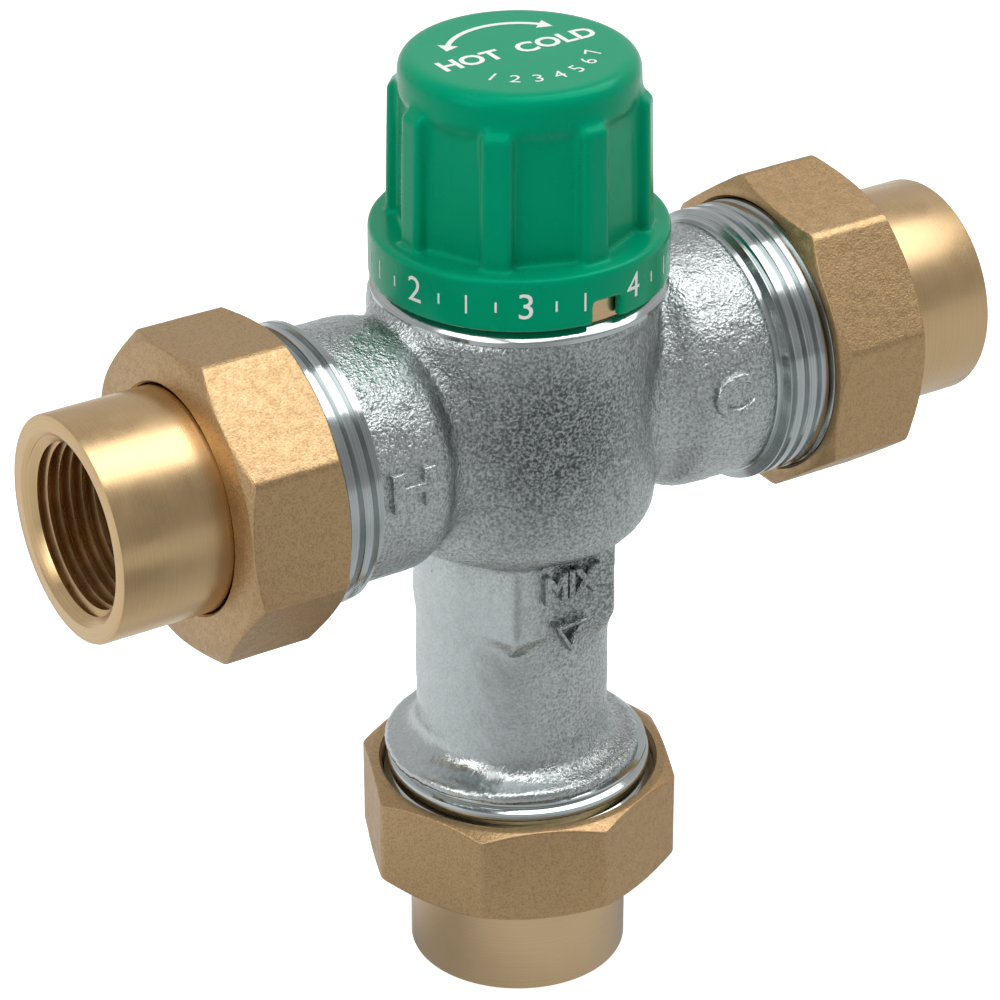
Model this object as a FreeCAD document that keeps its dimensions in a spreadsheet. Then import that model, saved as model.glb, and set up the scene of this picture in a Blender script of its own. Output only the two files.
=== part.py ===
"""Three-port thermostatic mixing valve, drawn as a parametric FreeCAD document.

Frame: millimetres, +Z up, origin at the centre of the outlet mouth, which the valve stands on.
+X points to the cold inlet, -X to the hot inlet, and -Y to the front.
Every driving size is a cell of the sheet; sketches and primitives are bound to those cells.
Each union piece is drawn along +Z from the mouth of its port inwards, then turned on to its port.
"""
import FreeCAD, Part
import os
import re
import Sketcher

os.makedirs("parts", exist_ok=True)
doc = FreeCAD.newDocument("mixing_valve")
Vector = FreeCAD.Vector

# ------------------------------------------------------------------ driving sizes
SIZES = [
    # ports
    ("port_height", 92.7, "inlet axis above the outlet mouth"),
    ("port_reach", 73.8, "valve axis to each inlet mouth"),
    ("cast_shift", 1.15, "how far the casting sits off the machined axis, towards the hot inlet"),
    # union sets, the same at all three ports
    ("tail_radius", 16.5, "outside of a tailpiece"),
    ("tail_exposed", 16.8, "tailpiece showing outside its nut"),
    ("tail_flange_radius", 19.2, "shoulder that the nut pulls on"),
    ("tail_flange_thick", 3.6, "thickness of that shoulder"),
    ("tail_mouth_radius", 14.0, "outer edge of the mouth chamfer"),
    ("tail_thread_radius", 12.1, "crest of the 3/4 pipe thread in the mouth"),
    ("tail_thread_depth", 16.0, "length of the threaded mouth"),
    ("tail_bore_radius", 11.0, "water way behind the thread"),
    ("nut_across", 45.2, "octagon across flats"),
    ("nut_length", 15.4, "union nut along its axis"),
    ("nut_wall", 3.4, "end wall of the nut behind the shoulder"),
    ("nut_tail_gap", 0.3, "nut bore over the tailpiece"),
    ("nut_face_inset", 0.2, "how far the turned face ends inside the flats"),
    ("outlet_nut_turn", 22.5, "turn of the outlet nut about its axis, degrees"),
    ("hot_nut_turn", 40.0, "turn of the hot nut about its axis, degrees"),
    ("cold_nut_turn", 35.5, "turn of the cold nut about its axis, degrees"),
    ("gasket_thick", 1.5, "fibre union gasket"),
    ("gasket_bore_radius", 13.7, "hole in the gasket"),
    ("union_thread_radius", 20.65, "crest of the 1-1/4 thread on the body"),
    ("thread_gap", 0.1, "smooth thread bores over their threads"),
    # casting, outside
    ("barrel_radius", 21.1, "upright barrel of the casting"),
    ("barrel_above", 18.6, "cast barrel top above the inlet axis"),
    ("barrel_below", 18.8, "cast barrel bottom below the inlet axis"),
    ("barrel_round", 6.0, "rounding of the barrel's bottom edge"),
    ("arm_radius", 19.0, "inlet arm"),
    ("arm_end", 35.5, "casting axis to the end of each rough arm"),
    ("arm_bulge_start", 22.4, "casting axis to the inner end of each arm's full radius"),
    ("arm_neck_radius", 16.0, "arm where it leaves the barrel"),
    ("arm_round", 4.0, "rounding of the arm's inner shoulder"),
    ("column_radius", 14.4, "outlet column"),
    ("boss_radius", 14.75, "thicker top of the column"),
    ("boss_below", 31.0, "inlet axis to the lower end of that boss"),
    ("boss_taper", 3.0, "slope under the boss and the pad"),
    ("pad_half_width", 8.6, "half width of the marking pad on the column"),
    ("pad_front", 14.9, "casting axis to the face of that pad"),
    ("flare_radius", 19.4, "cast foot of the column"),
    ("flare_thick", 1.9, "edge of that foot"),
    ("flare_fillet", 3.8, "fillet between column and foot"),
    ("rim_radius", 20.0, "turned rim above the outlet nut"),
    ("rim_stand", 0.3, "rim above the nut"),
    ("rim_thick", 1.9, "height of the turned rim"),
    ("rim_groove_thick", 0.9, "turned groove over the rim"),
    ("rim_groove_radius", 18.7, "bottom of that groove"),
    ("neck_ring_radius", 21.6, "machined ring under the cap"),
    ("neck_ring_below", 2.4, "height of that ring"),
    ("neck_above", 20.3, "machined top face above the inlet axis"),
    # casting, inside
    ("bonnet_thread_radius", 17.6, "thread of the bonnet"),
    ("bonnet_end_above", 8.7, "lower end of the bonnet's thread above the inlet axis"),
    ("chamber_radius", 15.5, "ring chambers round the shuttle"),
    ("web_half", 2.6, "half thickness of the wall between the chambers"),
    ("hot_chamber_below", 9.4, "floor of the hot chamber"),
    ("hot_seat_below", 8.4, "hot seat below the inlet axis"),
    ("cold_seat_above", 7.6, "cold seat above the inlet axis"),
    ("seat_width", 1.5, "width of each seat land"),
    ("column_bore_radius", 10.5, "mixing bore in the column"),
    ("guide_seat_below", 38.0, "step that the outlet guide stands on"),
    ("outlet_bore_radius", 9.5, "bore below that step"),
    ("duct_half_width", 8.0, "half width of each inlet passage"),
    ("duct_overlap", 2.0, "how far each passage opens into its chamber"),
    ("duct_inset", 0.6, "passage inside the chamber's height"),
    # bonnet and spindle
    ("bonnet_flange_radius", 20.0, "bonnet flange on the body"),
    ("bonnet_flange_thick", 4.0, "its thickness"),
    ("bonnet_hex_across", 30.0, "spanner hexagon of the bonnet"),
    ("bonnet_hex_height", 3.2, "height of that hexagon"),
    ("bonnet_neck_radius", 9.5, "neck round the spindle"),
    ("bonnet_neck_top", 37.0, "top of the neck above the inlet axis"),
    ("bonnet_thrust_top", 19.6, "shoulder over the spindle's collar"),
    ("thrust_radius", 8.5, "collar of the spindle"),
    ("thrust_thick", 2.0, "its thickness"),
    ("thrust_gap", 0.2, "end play of the collar"),
    ("spindle_radius", 6.0, "spindle in the neck"),
    ("running_gap", 0.05, "radial clearance of running fits"),
    ("stub_radius", 4.0, "adjusting thread of the spindle"),
    ("stub_end_above", 10.2, "lower end of that thread above the inlet axis"),
    ("spline_radius", 5.5, "splined top of the spindle"),
    ("spline_top", 46.0, "top of the spindle above the inlet axis"),
    ("spline_cut_radius", 0.55, "half-round splines"),
    ("spline_count", 12, "number of splines"),
    ("clip_thick", 0.8, "spindle clip"),
    ("clip_groove_depth", 0.8, "groove for that clip"),
    ("clip_radius", 8.2, "outside of that clip"),
    ("seal_wire", 0.8, "half section of the spindle and bonnet O-rings"),
    ("spindle_seal_above", 27.5, "spindle O-ring above the inlet axis"),
    ("bonnet_seal_above", 18.8, "bonnet O-ring above the inlet axis"),
    # lifter
    ("lifter_across", 18.0, "hexagon of the lifter nut"),
    ("lifter_side_gap", 0.1, "lifter in the bonnet's hexagon"),
    ("lifter_top_above", 16.0, "top of the lifter above the inlet axis"),
    ("lifter_hex_low", 9.8, "lower end of its hexagon"),
    ("lifter_tube_radius", 8.0, "tube of the lifter"),
    ("lifter_tube_low", 2.4, "lower end of that tube"),
    ("lifter_tube_bore", 7.2, "bore of that tube"),
    ("lifter_roof_above", 11.5, "roof of the bore"),
    ("lifter_travel", 1.0, "travel each way on the adjusting thread"),
    ("cup_radius", 7.0, "overload cup"),
    ("cup_low", 3.7, "underside of that cup above the inlet axis"),
    ("cup_flange_thick", 1.2, "its flange"),
    ("cup_hub_radius", 4.6, "its hub"),
    ("cup_hub_top", 6.7, "top of the hub"),
    ("cup_clip_thick", 0.8, "snap ring under the cup"),
    ("cup_clip_bore", 5.5, "hole in that ring"),
    ("cup_clip_grip", 0.4, "snap ring into its groove"),
    ("pin_radius", 2.0, "push pin of the wax capsule"),
    ("pin_top", 5.2, "top of the pin above the inlet axis"),
    ("pin_length", 12.2, "length of the pin"),
    # wax capsule and shuttle
    ("capsule_neck_radius", 4.2, "guide of the push pin"),
    ("capsule_neck_top", 1.0, "top of that guide above the inlet axis"),
    ("capsule_flange_radius", 8.0, "flange under the shuttle"),
    ("capsule_flange_top", -4.6, "its upper face"),
    ("capsule_flange_thick", 3.0, "its thickness"),
    ("capsule_radius", 6.2, "wax cup"),
    ("capsule_low", -29.0, "end of the wax cup"),
    ("capsule_tail_radius", 4.0, "guide tail of the capsule"),
    ("capsule_tail_low", -40.0, "end of that tail"),
    ("pin_floor", -8.8, "floor of the pin's bore"),
    ("shuttle_radius", 12.0, "piston that meters hot against cold"),
    ("shuttle_top", 5.8, "upper rim above the inlet axis"),
    ("shuttle_low", -6.2, "lower rim"),
    ("shuttle_wall", 1.6, "wall of the shuttle"),
    ("shuttle_hub_thick", 3.4, "spoked hub of the shuttle"),
    ("shuttle_hub_radius", 5.9, "solid middle of the hub"),
    ("shuttle_port_width", 5.0, "each water way through the hub"),
    ("shuttle_seal_wire", 0.55, "half section of the shuttle O-ring"),
    ("return_spring_radius", 7.3, "coil radius of the return spring"),
    ("return_spring_wire", 0.75, "its wire radius"),
    ("return_spring_turns", 6, "its turns"),
    ("overload_spring_radius", 5.9, "coil radius of the overload spring"),
    ("overload_spring_wire", 0.45, "its wire radius"),
    ("overload_spring_turns", 3.5, "its turns"),
    ("guide_thick", 4.0, "outlet guide"),
    ("guide_rim", 1.6, "rim of the guide"),
    ("guide_gap", 0.1, "guide in the column bore"),
    # cap
    ("cap_radius", 21.7, "skirt of the cap"),
    ("cap_low", 21.5, "lower edge of the skirt above the inlet axis"),
    ("cap_skirt_height", 7.9, "height of the skirt"),
    ("cap_skirt_round", 0.8, "rounding of the skirt's top edge"),
    ("cap_skirt_wall", 1.4, "wall of the skirt"),
    ("cap_dome_radius", 17.35, "round head of the cap at its lower edge"),
    ("cap_dome_draft", 0.2, "how far the head's side leans in at its top"),
    ("cap_dome_low", 49.4, "lower edge of the round head"),
    ("cap_top", 54.8, "top of the cap above the inlet axis"),
    ("cap_dome_round", 2.4, "rounding of the top"),
    ("cap_dome_taper", 2.2, "slope under the round head"),
    ("cap_panel", 16.5, "axis to each flat panel"),
    ("cap_panel_draft", 0.35, "how far a panel leans out at its foot"),
    ("cap_rib_count", 8, "grip ribs"),
    ("cap_rib_turn", 2.4, "turn of the cap and the spindle about the axis, degrees"),
    ("cap_rib_width", 4.5, "width of a rib"),
    ("cap_rib_reach", 19.2, "axis to a rib's face at its foot"),
    ("cap_rib_draft", 0.4, "how far a rib's face leans in at its top"),
    ("cap_rib_high", 50.9, "top of a rib at the head"),
    ("cap_rib_shoulder", 2.1, "how far below its top a rib's face ends"),
    ("cap_rib_round", 0.9, "rounding of a rib's edges"),
    ("cap_wall", 2.2, "wall of the grip"),
    ("cap_roof", 2.6, "roof of the cap"),
    ("cap_boss_radius", 8.4, "splined boss inside the cap"),
    ("cap_boss_low", 38.3, "lower end of that boss"),
    ("cap_spline_gap", 0.1, "cap splines over the spindle's"),
    ("notch_width", 4.7, "pry notch in the skirt"),
    ("notch_height", 3.3, "its height"),
    # check cartridges, measured along a port from the union face inwards
    ("check_flange_radius", 14.3, "flange of the check cartridge"),
    ("check_flange_thick", 1.5, "its thickness"),
    ("check_radius", 13.0, "body of the cartridge"),
    ("check_length", 19.5, "length of the cartridge"),
    ("check_wall", 1.2, "its wall"),
    ("check_seat_radius", 8.4, "opening of its seat"),
    ("check_seat_thick", 3.0, "thickness of the seat"),
    ("check_back_thick", 1.8, "spoked back wall"),
    ("check_fit_gap", 0.1, "cartridge in its bore"),
    ("check_seal_thick", 0.8, "rubber face of the poppet"),
    ("poppet_radius", 9.7, "disc of the poppet"),
    ("poppet_thick", 1.6, "its thickness"),
    ("poppet_stem_radius", 2.0, "stem of the poppet"),
    ("poppet_stem_length", 15.2, "stem behind the disc"),
    ("poppet_travel", 2.5, "opening travel"),
    ("check_spring_radius", 4.4, "coil radius of the check spring"),
    ("check_spring_wire", 0.45, "its wire radius"),
    ("check_spring_turns", 4, "its turns"),
    ("check_bore_run", 21.5, "union face to the end of the full bore"),
    ("check_bore_cone", 3.6, "conical end of that bore"),
    ("check_bore_end_radius", 5.0, "flat end of that bore"),
    ("strainer_flange_radius", 13.4, "flange of the inlet strainer"),
    ("strainer_flange_thick", 1.2, "its thickness"),
    ("strainer_radius", 10.4, "basket of the strainer"),
    ("strainer_wall", 0.6, "its wall"),
    ("strainer_depth", 6.5, "length of the basket"),
    ("strainer_slot_width", 2.4, "each slot of the basket"),
]

sheet = doc.addObject("Spreadsheet::Sheet", "Sizes")
for row, (alias, size, note) in enumerate(SIZES, start=1):
    sheet.set("A%d" % row, alias)
    sheet.set("B%d" % row, str(size))
    sheet.set("C%d" % row, note)
    sheet.setAlias("B%d" % row, alias)
doc.recompute()
ALIASES = {alias for alias, _, _ in SIZES}
FINISHED = []


# ------------------------------------------------------------------ drawing helpers
def number(text):
    """Value of a sheet expression."""
    return float(sheet.evalExpression(text))


def bound(text):
    """The same expression as another object has to write it."""
    return re.sub(r"[a-z][a-z_0-9]*",
                  lambda word: "Sizes." + word.group() if word.group() in ALIASES else word.group(), text)


def height(text):
    """Height over the outlet mouth of something measured from the inlet axis."""
    return "port_height + (%s)" % text


def new_body(label):
    """Empty PartDesign body for one piece."""
    body = doc.addObject("PartDesign::Body", label)
    body.Label = label
    FINISHED.append(body)
    return body


def sketch_on(body, name, role, lift="0", across="0", along="0"):
    """Sketch on one of the body's own origin planes, shifted by sheet expressions."""
    sketch = body.newObject("Sketcher::SketchObject", name)
    plane = next(item for item in body.Origin.OriginFeatures if item.Role == role)
    sketch.AttachmentSupport = [(plane, "")]
    sketch.MapMode = "FlatFace"
    for axis, text in (("x", across), ("y", along), ("z", lift)):
        if text != "0":
            sketch.setExpression("AttachmentOffset.Base." + axis, bound(text))
    return sketch


def outline(sketch, corners):
    """Closed outline through corners, each a pair of sheet expressions."""
    places = [Vector(number(across), number(along), 0) for across, along in corners]
    first = sketch.GeometryCount
    count = len(places)
    for index, place in enumerate(places):
        sketch.addGeometry(Part.LineSegment(place, places[(index + 1) % count]))
    for index, (across, along) in enumerate(corners):
        line = first + index
        following = first + (index + 1) % count
        sketch.addConstraint(Sketcher.Constraint("Coincident", line, 2, following, 1))
        if across == "0":
            sketch.addConstraint(Sketcher.Constraint("PointOnObject", line, 1, -2))
        else:
            made = sketch.addConstraint(Sketcher.Constraint("DistanceX", -1, 1, line, 1, places[index].x))
            sketch.setExpression("Constraints[%d]" % made, bound(across))
        if along == "0":
            sketch.addConstraint(Sketcher.Constraint("PointOnObject", line, 1, -1))
        else:
            made = sketch.addConstraint(Sketcher.Constraint("DistanceY", -1, 1, line, 1, places[index].y))
            sketch.setExpression("Constraints[%d]" % made, bound(along))


def ring(sketch, radius, across="0", along="0"):
    """Full circle whose radius and centre are sheet expressions."""
    centre = Vector(number(across), number(along), 0)
    made = sketch.addGeometry(Part.Circle(centre, Vector(0, 0, 1), number(radius)))
    rule = sketch.addConstraint(Sketcher.Constraint("Radius", made, number(radius)))
    sketch.setExpression("Constraints[%d]" % rule, bound(radius))
    for kind, text, place in (("DistanceX", across, centre.x), ("DistanceY", along, centre.y)):
        if text == "0":
            axis = -2 if kind == "DistanceX" else -1
            sketch.addConstraint(Sketcher.Constraint("PointOnObject", made, 3, axis))
        else:
            rule = sketch.addConstraint(Sketcher.Constraint(kind, -1, 1, made, 3, place))
            sketch.setExpression("Constraints[%d]" % rule, bound(text))


def turned(body, name, corners, cut=False, lying=False, across="0", along="0"):
    """Profile turned about +Z, or about +X if lying; cut takes it away."""
    sketch = sketch_on(body, name + "_profile", "XZ_Plane", across=across, along=along)
    outline(sketch, corners)
    feature = body.newObject("PartDesign::Groove" if cut else "PartDesign::Revolution", name)
    feature.Profile = sketch
    feature.ReferenceAxis = (sketch, ["H_Axis" if lying else "V_Axis"])
    feature.Angle = 360
    return feature


def extruded(body, name, draw, length, cut=False, role="XY_Plane", lift="0", centred=False):
    """Outline from draw(sketch) pushed along its plane's normal by length."""
    sketch = sketch_on(body, name + "_outline", role, lift=lift)
    draw(sketch)
    feature = body.newObject("PartDesign::Pocket" if cut else "PartDesign::Pad", name)
    feature.Profile = sketch
    feature.setExpression("Length", bound(length))
    if centred:
        feature.Midplane = True
    elif cut:
        feature.Reversed = True
    return feature


def around(body, feature, count):
    """Feature repeated round the body's +Z axis."""
    doc.recompute()
    pattern = body.newObject("PartDesign::PolarPattern", feature.Name + "_round")
    axis = next(item for item in body.Origin.OriginFeatures if item.Role == "Z_Axis")
    pattern.Originals = [feature]
    pattern.Axis = (axis, [""])
    pattern.Angle = 360
    pattern.setExpression("Occurrences", bound(count))
    body.Tip = pattern
    return pattern


def rounded(body, name, radius, picked):
    """Fillet on the edges for which picked(edge) is true."""
    doc.recompute()
    base = body.Tip
    names = ["Edge%d" % place for place, edge in enumerate(base.Shape.Edges, start=1) if picked(edge)]
    feature = body.newObject("PartDesign::Fillet", name)
    feature.Base = (base, names)
    feature.setExpression("Radius", bound(radius))
    return feature


def is_ring(edge, radius, at, axis="z"):
    """True for a full circle of that radius, at that place along the axis."""
    if not isinstance(edge.Curve, Part.Circle) or len(edge.Vertexes) > 1:
        return False
    place = getattr(edge.Curve.Center, axis)
    return abs(edge.Curve.Radius - number(radius)) < 1e-3 and abs(place - number(at)) < 1e-3


def is_part_ring(edge, radius, at):
    """True for any arc of that radius about an axis along X, at that place."""
    if not isinstance(edge.Curve, Part.Circle):
        return False
    return abs(edge.Curve.Radius - number(radius)) < 1e-3 and abs(edge.Curve.Center.x - number(at)) < 1e-3


def polygon(sides, flat, turn=0.0):
    """Function that draws a regular polygon, flat being the distance from its centre to a side."""
    def draw(sketch):
        half = 180.0 / sides
        corners = []
        for side in range(sides):
            angle = turn + half * (2 * side + 1)
            reach = "(%s) / cos(%s deg)" % (flat, half)
            corners.append(("%s * cos(%s deg)" % (reach, angle), "%s * sin(%s deg)" % (reach, angle)))
        outline(sketch, corners)
    return draw


def box(low_across, low_along, high_across, high_along):
    """Function that draws a rectangle between two corners."""
    def draw(sketch):
        outline(sketch, [(low_across, low_along), (high_across, low_along),
                         (high_across, high_along), (low_across, high_along)])
    return draw


def disc(radius, across="0", along="0"):
    """Function that draws one circle."""
    def draw(sketch):
        ring(sketch, radius, across, along)
    return draw


def o_ring(label, radius, section, at):
    """Torus standing round +Z."""
    torus = doc.addObject("Part::Torus", label)
    torus.Label = label
    torus.setExpression("Radius1", bound(radius))
    torus.setExpression("Radius2", bound(section))
    torus.setExpression("Placement.Base.z", bound(at))
    FINISHED.append(torus)
    return torus


def coil_spring(label, radius, wire, turns, low, high):
    """Helical spring round +Z whose wire lies between two heights."""
    path = doc.addObject("Part::Helix", label + "_path")
    path.setExpression("Radius", bound(radius))
    span = "(%s) - (%s) - 2 * (%s)" % (high, low, wire)
    path.setExpression("Height", bound(span))
    path.setExpression("Pitch", bound("(%s) / (%s)" % (span, turns)))
    section = doc.addObject("Part::RegularPolygon", label + "_section")
    section.Polygon = 6
    section.setExpression("Circumradius", bound(wire))
    section.Placement.Rotation = FreeCAD.Rotation(Vector(1, 0, 0), 90)
    section.setExpression("Placement.Base.x", bound(radius))
    spring = doc.addObject("Part::Sweep", label)
    spring.Label = label
    spring.Sections = [section]
    spring.Spine = (path, ["Edge1"])
    spring.Solid = True
    spring.Frenet = True
    spring.setExpression("Placement.Base.z", bound("(%s) + (%s)" % (low, wire)))
    FINISHED.append(spring)
    return spring


# ------------------------------------------------------------------ shared places
NUT_MOUTH = "tail_exposed + nut_length"
FLANGE_FACE = "tail_exposed + nut_wall"
TAIL_END = FLANGE_FACE + " + tail_flange_thick"
UNION_FACE = TAIL_END + " + gasket_thick"
BODY_FACE = "(port_reach - (" + UNION_FACE + "))"
RIM_LOW = NUT_MOUTH + " + rim_stand"
RIM_TOP = RIM_LOW + " + rim_thick"
GROOVE_TOP = RIM_TOP + " + rim_groove_thick"
FLARE_TOP = GROOVE_TOP + " + flare_thick"
HOT_SIDE = FreeCAD.Rotation(Vector(0, 1, 0), 90)
COLD_SIDE = FreeCAD.Rotation(Vector(0, 1, 0), -90)


def on_port(piece, port, turn="0"):
    """Turn a piece drawn inwards from a mouth on to its port."""
    own = FreeCAD.Placement(piece.Placement.Base, FreeCAD.Rotation(Vector(0, 0, 1), number(turn)))
    if port == "outlet":
        piece.Placement = own
        return piece
    reach = number("port_reach")
    place = Vector(-reach if port == "hot" else reach, 0, number("port_height"))
    piece.setExpression("Placement.Base.z", None)
    piece.Placement = FreeCAD.Placement(place, HOT_SIDE if port == "hot" else COLD_SIDE) * own
    return piece


# ------------------------------------------------------------------ union pieces
def union_nut(port):
    """Octagon nut with turned ends, which pulls a tailpiece on to the body."""
    body = new_body(port + "_union_nut")
    extruded(body, port + "_nut_flats", polygon(8, "nut_across / 2"), "nut_length", lift="tail_exposed")
    face = "(nut_across / 2 - nut_face_inset)"
    slope = "nut_across * 0.1"
    out = "(%s + %s / tan(30 deg))" % (face, slope)
    turned(body, port + "_nut_tail_end", [
        (face, "tail_exposed"), (out, "tail_exposed"), (out, "tail_exposed + " + slope)], cut=True)
    turned(body, port + "_nut_mouth_end", [
        (face, NUT_MOUTH), (out, NUT_MOUTH), (out, NUT_MOUTH + " - " + slope)], cut=True)
    turned(body, port + "_nut_bore", [
        ("0", "tail_exposed"), ("tail_radius + nut_tail_gap", "tail_exposed"),
        ("tail_radius + nut_tail_gap", FLANGE_FACE),
        ("union_thread_radius + thread_gap", FLANGE_FACE),
        ("union_thread_radius + thread_gap", NUT_MOUTH + " - gasket_thick / 2"),
        ("union_thread_radius + thread_gap + gasket_thick / 4", NUT_MOUTH), ("0", NUT_MOUTH)], cut=True)
    return on_port(body, port, port + "_nut_turn")


def tailpiece(port):
    """Turned connector with a threaded mouth and the shoulder for the nut."""
    body = new_body(port + "_tailpiece")
    chamfer = "(tail_mouth_radius - tail_thread_radius)"
    corners = [
        ("tail_mouth_radius", "0"), ("tail_radius", "0"), ("tail_radius", FLANGE_FACE),
        ("tail_flange_radius", FLANGE_FACE), ("tail_flange_radius", TAIL_END)]
    if port == "outlet":
        corners += [("tail_bore_radius", TAIL_END)]
    else:
        recess = "strainer_flange_radius + thread_gap"
        corners += [
            (recess, TAIL_END), (recess, TAIL_END + " - strainer_flange_thick"),
            ("tail_bore_radius", TAIL_END + " - strainer_flange_thick")]
    corners += [
        ("tail_bore_radius", "tail_thread_depth"), ("tail_thread_radius", "tail_thread_depth"),
        ("tail_thread_radius", chamfer)]
    turned(body, port + "_tail_turned", corners)
    rounded(body, port + "_tail_edge", "gasket_thick / 4", lambda edge: is_ring(edge, "tail_radius", "0"))
    return on_port(body, port)


def union_gasket(port):
    """Flat fibre ring between tailpiece and body."""
    body = new_body(port + "_union_gasket")
    turned(body, port + "_gasket_ring", [
        ("gasket_bore_radius", TAIL_END), ("tail_flange_radius", TAIL_END),
        ("tail_flange_radius", UNION_FACE), ("gasket_bore_radius", UNION_FACE)])
    return on_port(body, port)


def strainer(port):
    """Slotted basket that keeps grit out of an inlet."""
    body = new_body(port + "_strainer")
    rim = TAIL_END + " - strainer_flange_thick"
    closed = rim + " - strainer_depth"
    inner = "(strainer_radius - strainer_wall)"
    turned(body, port + "_basket", [
        ("0", closed), ("strainer_radius", closed), ("strainer_radius", rim),
        ("strainer_flange_radius", rim), ("strainer_flange_radius", TAIL_END), (inner, TAIL_END),
        (inner, closed + " + strainer_wall"), ("0", closed + " + strainer_wall")])
    slot = extruded(body, port + "_basket_slot",
                    box("0 - strainer_slot_width / 2", "strainer_radius * 0.4",
                        "strainer_slot_width / 2", "strainer_radius * 0.85"),
                    "strainer_depth", cut=True, lift=closed + " - strainer_wall")
    around(body, slot, "cap_rib_count")
    return on_port(body, port)


def check_cage(port):
    """Cartridge shell with the seat in front and a spoked guide behind."""
    body = new_body(port + "_check_cage")
    front = UNION_FACE
    back = UNION_FACE + " + check_length"
    inner = "(check_radius - check_wall)"
    turned(body, port + "_cage_shell", [
        ("check_seat_radius", front), ("check_flange_radius", front),
        ("check_flange_radius", front + " + check_flange_thick"),
        ("check_radius", front + " + check_flange_thick"), ("check_radius", back),
        ("poppet_stem_radius + running_gap", back),
        ("poppet_stem_radius + running_gap", back + " - check_back_thick"),
        (inner, back + " - check_back_thick"), (inner, front + " + check_seat_thick"),
        ("check_seat_radius", front + " + check_seat_thick")])
    hub = "(check_spring_radius + check_spring_wire + check_fit_gap)"
    window = extruded(body, port + "_cage_window",
                      box("0 - check_spring_radius / 2", hub, "check_spring_radius / 2", inner + " - check_wall"),
                      "check_back_thick * 2", cut=True, lift=back + " - check_back_thick * 1.5")
    around(body, window, "spline_count / 3")
    return on_port(body, port)


def check_poppet(port):
    """Disc and stem that stop back flow."""
    body = new_body(port + "_check_poppet")
    face = UNION_FACE + " + check_seat_thick + check_seal_thick"
    turned(body, port + "_poppet_turned", [
        ("0", face), ("poppet_radius", face), ("poppet_radius", face + " + poppet_thick"),
        ("poppet_stem_radius", face + " + poppet_thick"),
        ("poppet_stem_radius", face + " + poppet_stem_length"), ("0", face + " + poppet_stem_length")])
    return on_port(body, port)


def check_seal(port):
    """Rubber ring on the face of the poppet."""
    body = new_body(port + "_check_seal")
    low = UNION_FACE + " + check_seat_thick"
    turned(body, port + "_seal_ring", [
        ("check_seat_radius - check_wall", low), ("poppet_radius", low),
        ("poppet_radius", low + " + check_seal_thick"),
        ("check_seat_radius - check_wall", low + " + check_seal_thick")])
    return on_port(body, port)


def check_spring(port):
    """Light spring that closes the poppet."""
    low = UNION_FACE + " + check_seat_thick + check_seal_thick + poppet_thick"
    high = UNION_FACE + " + check_length - check_back_thick"
    spring = coil_spring(port + "_check_spring", "check_spring_radius", "check_spring_wire",
                         "check_spring_turns", low, high)
    doc.recompute()
    return on_port(spring, port)


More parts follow.
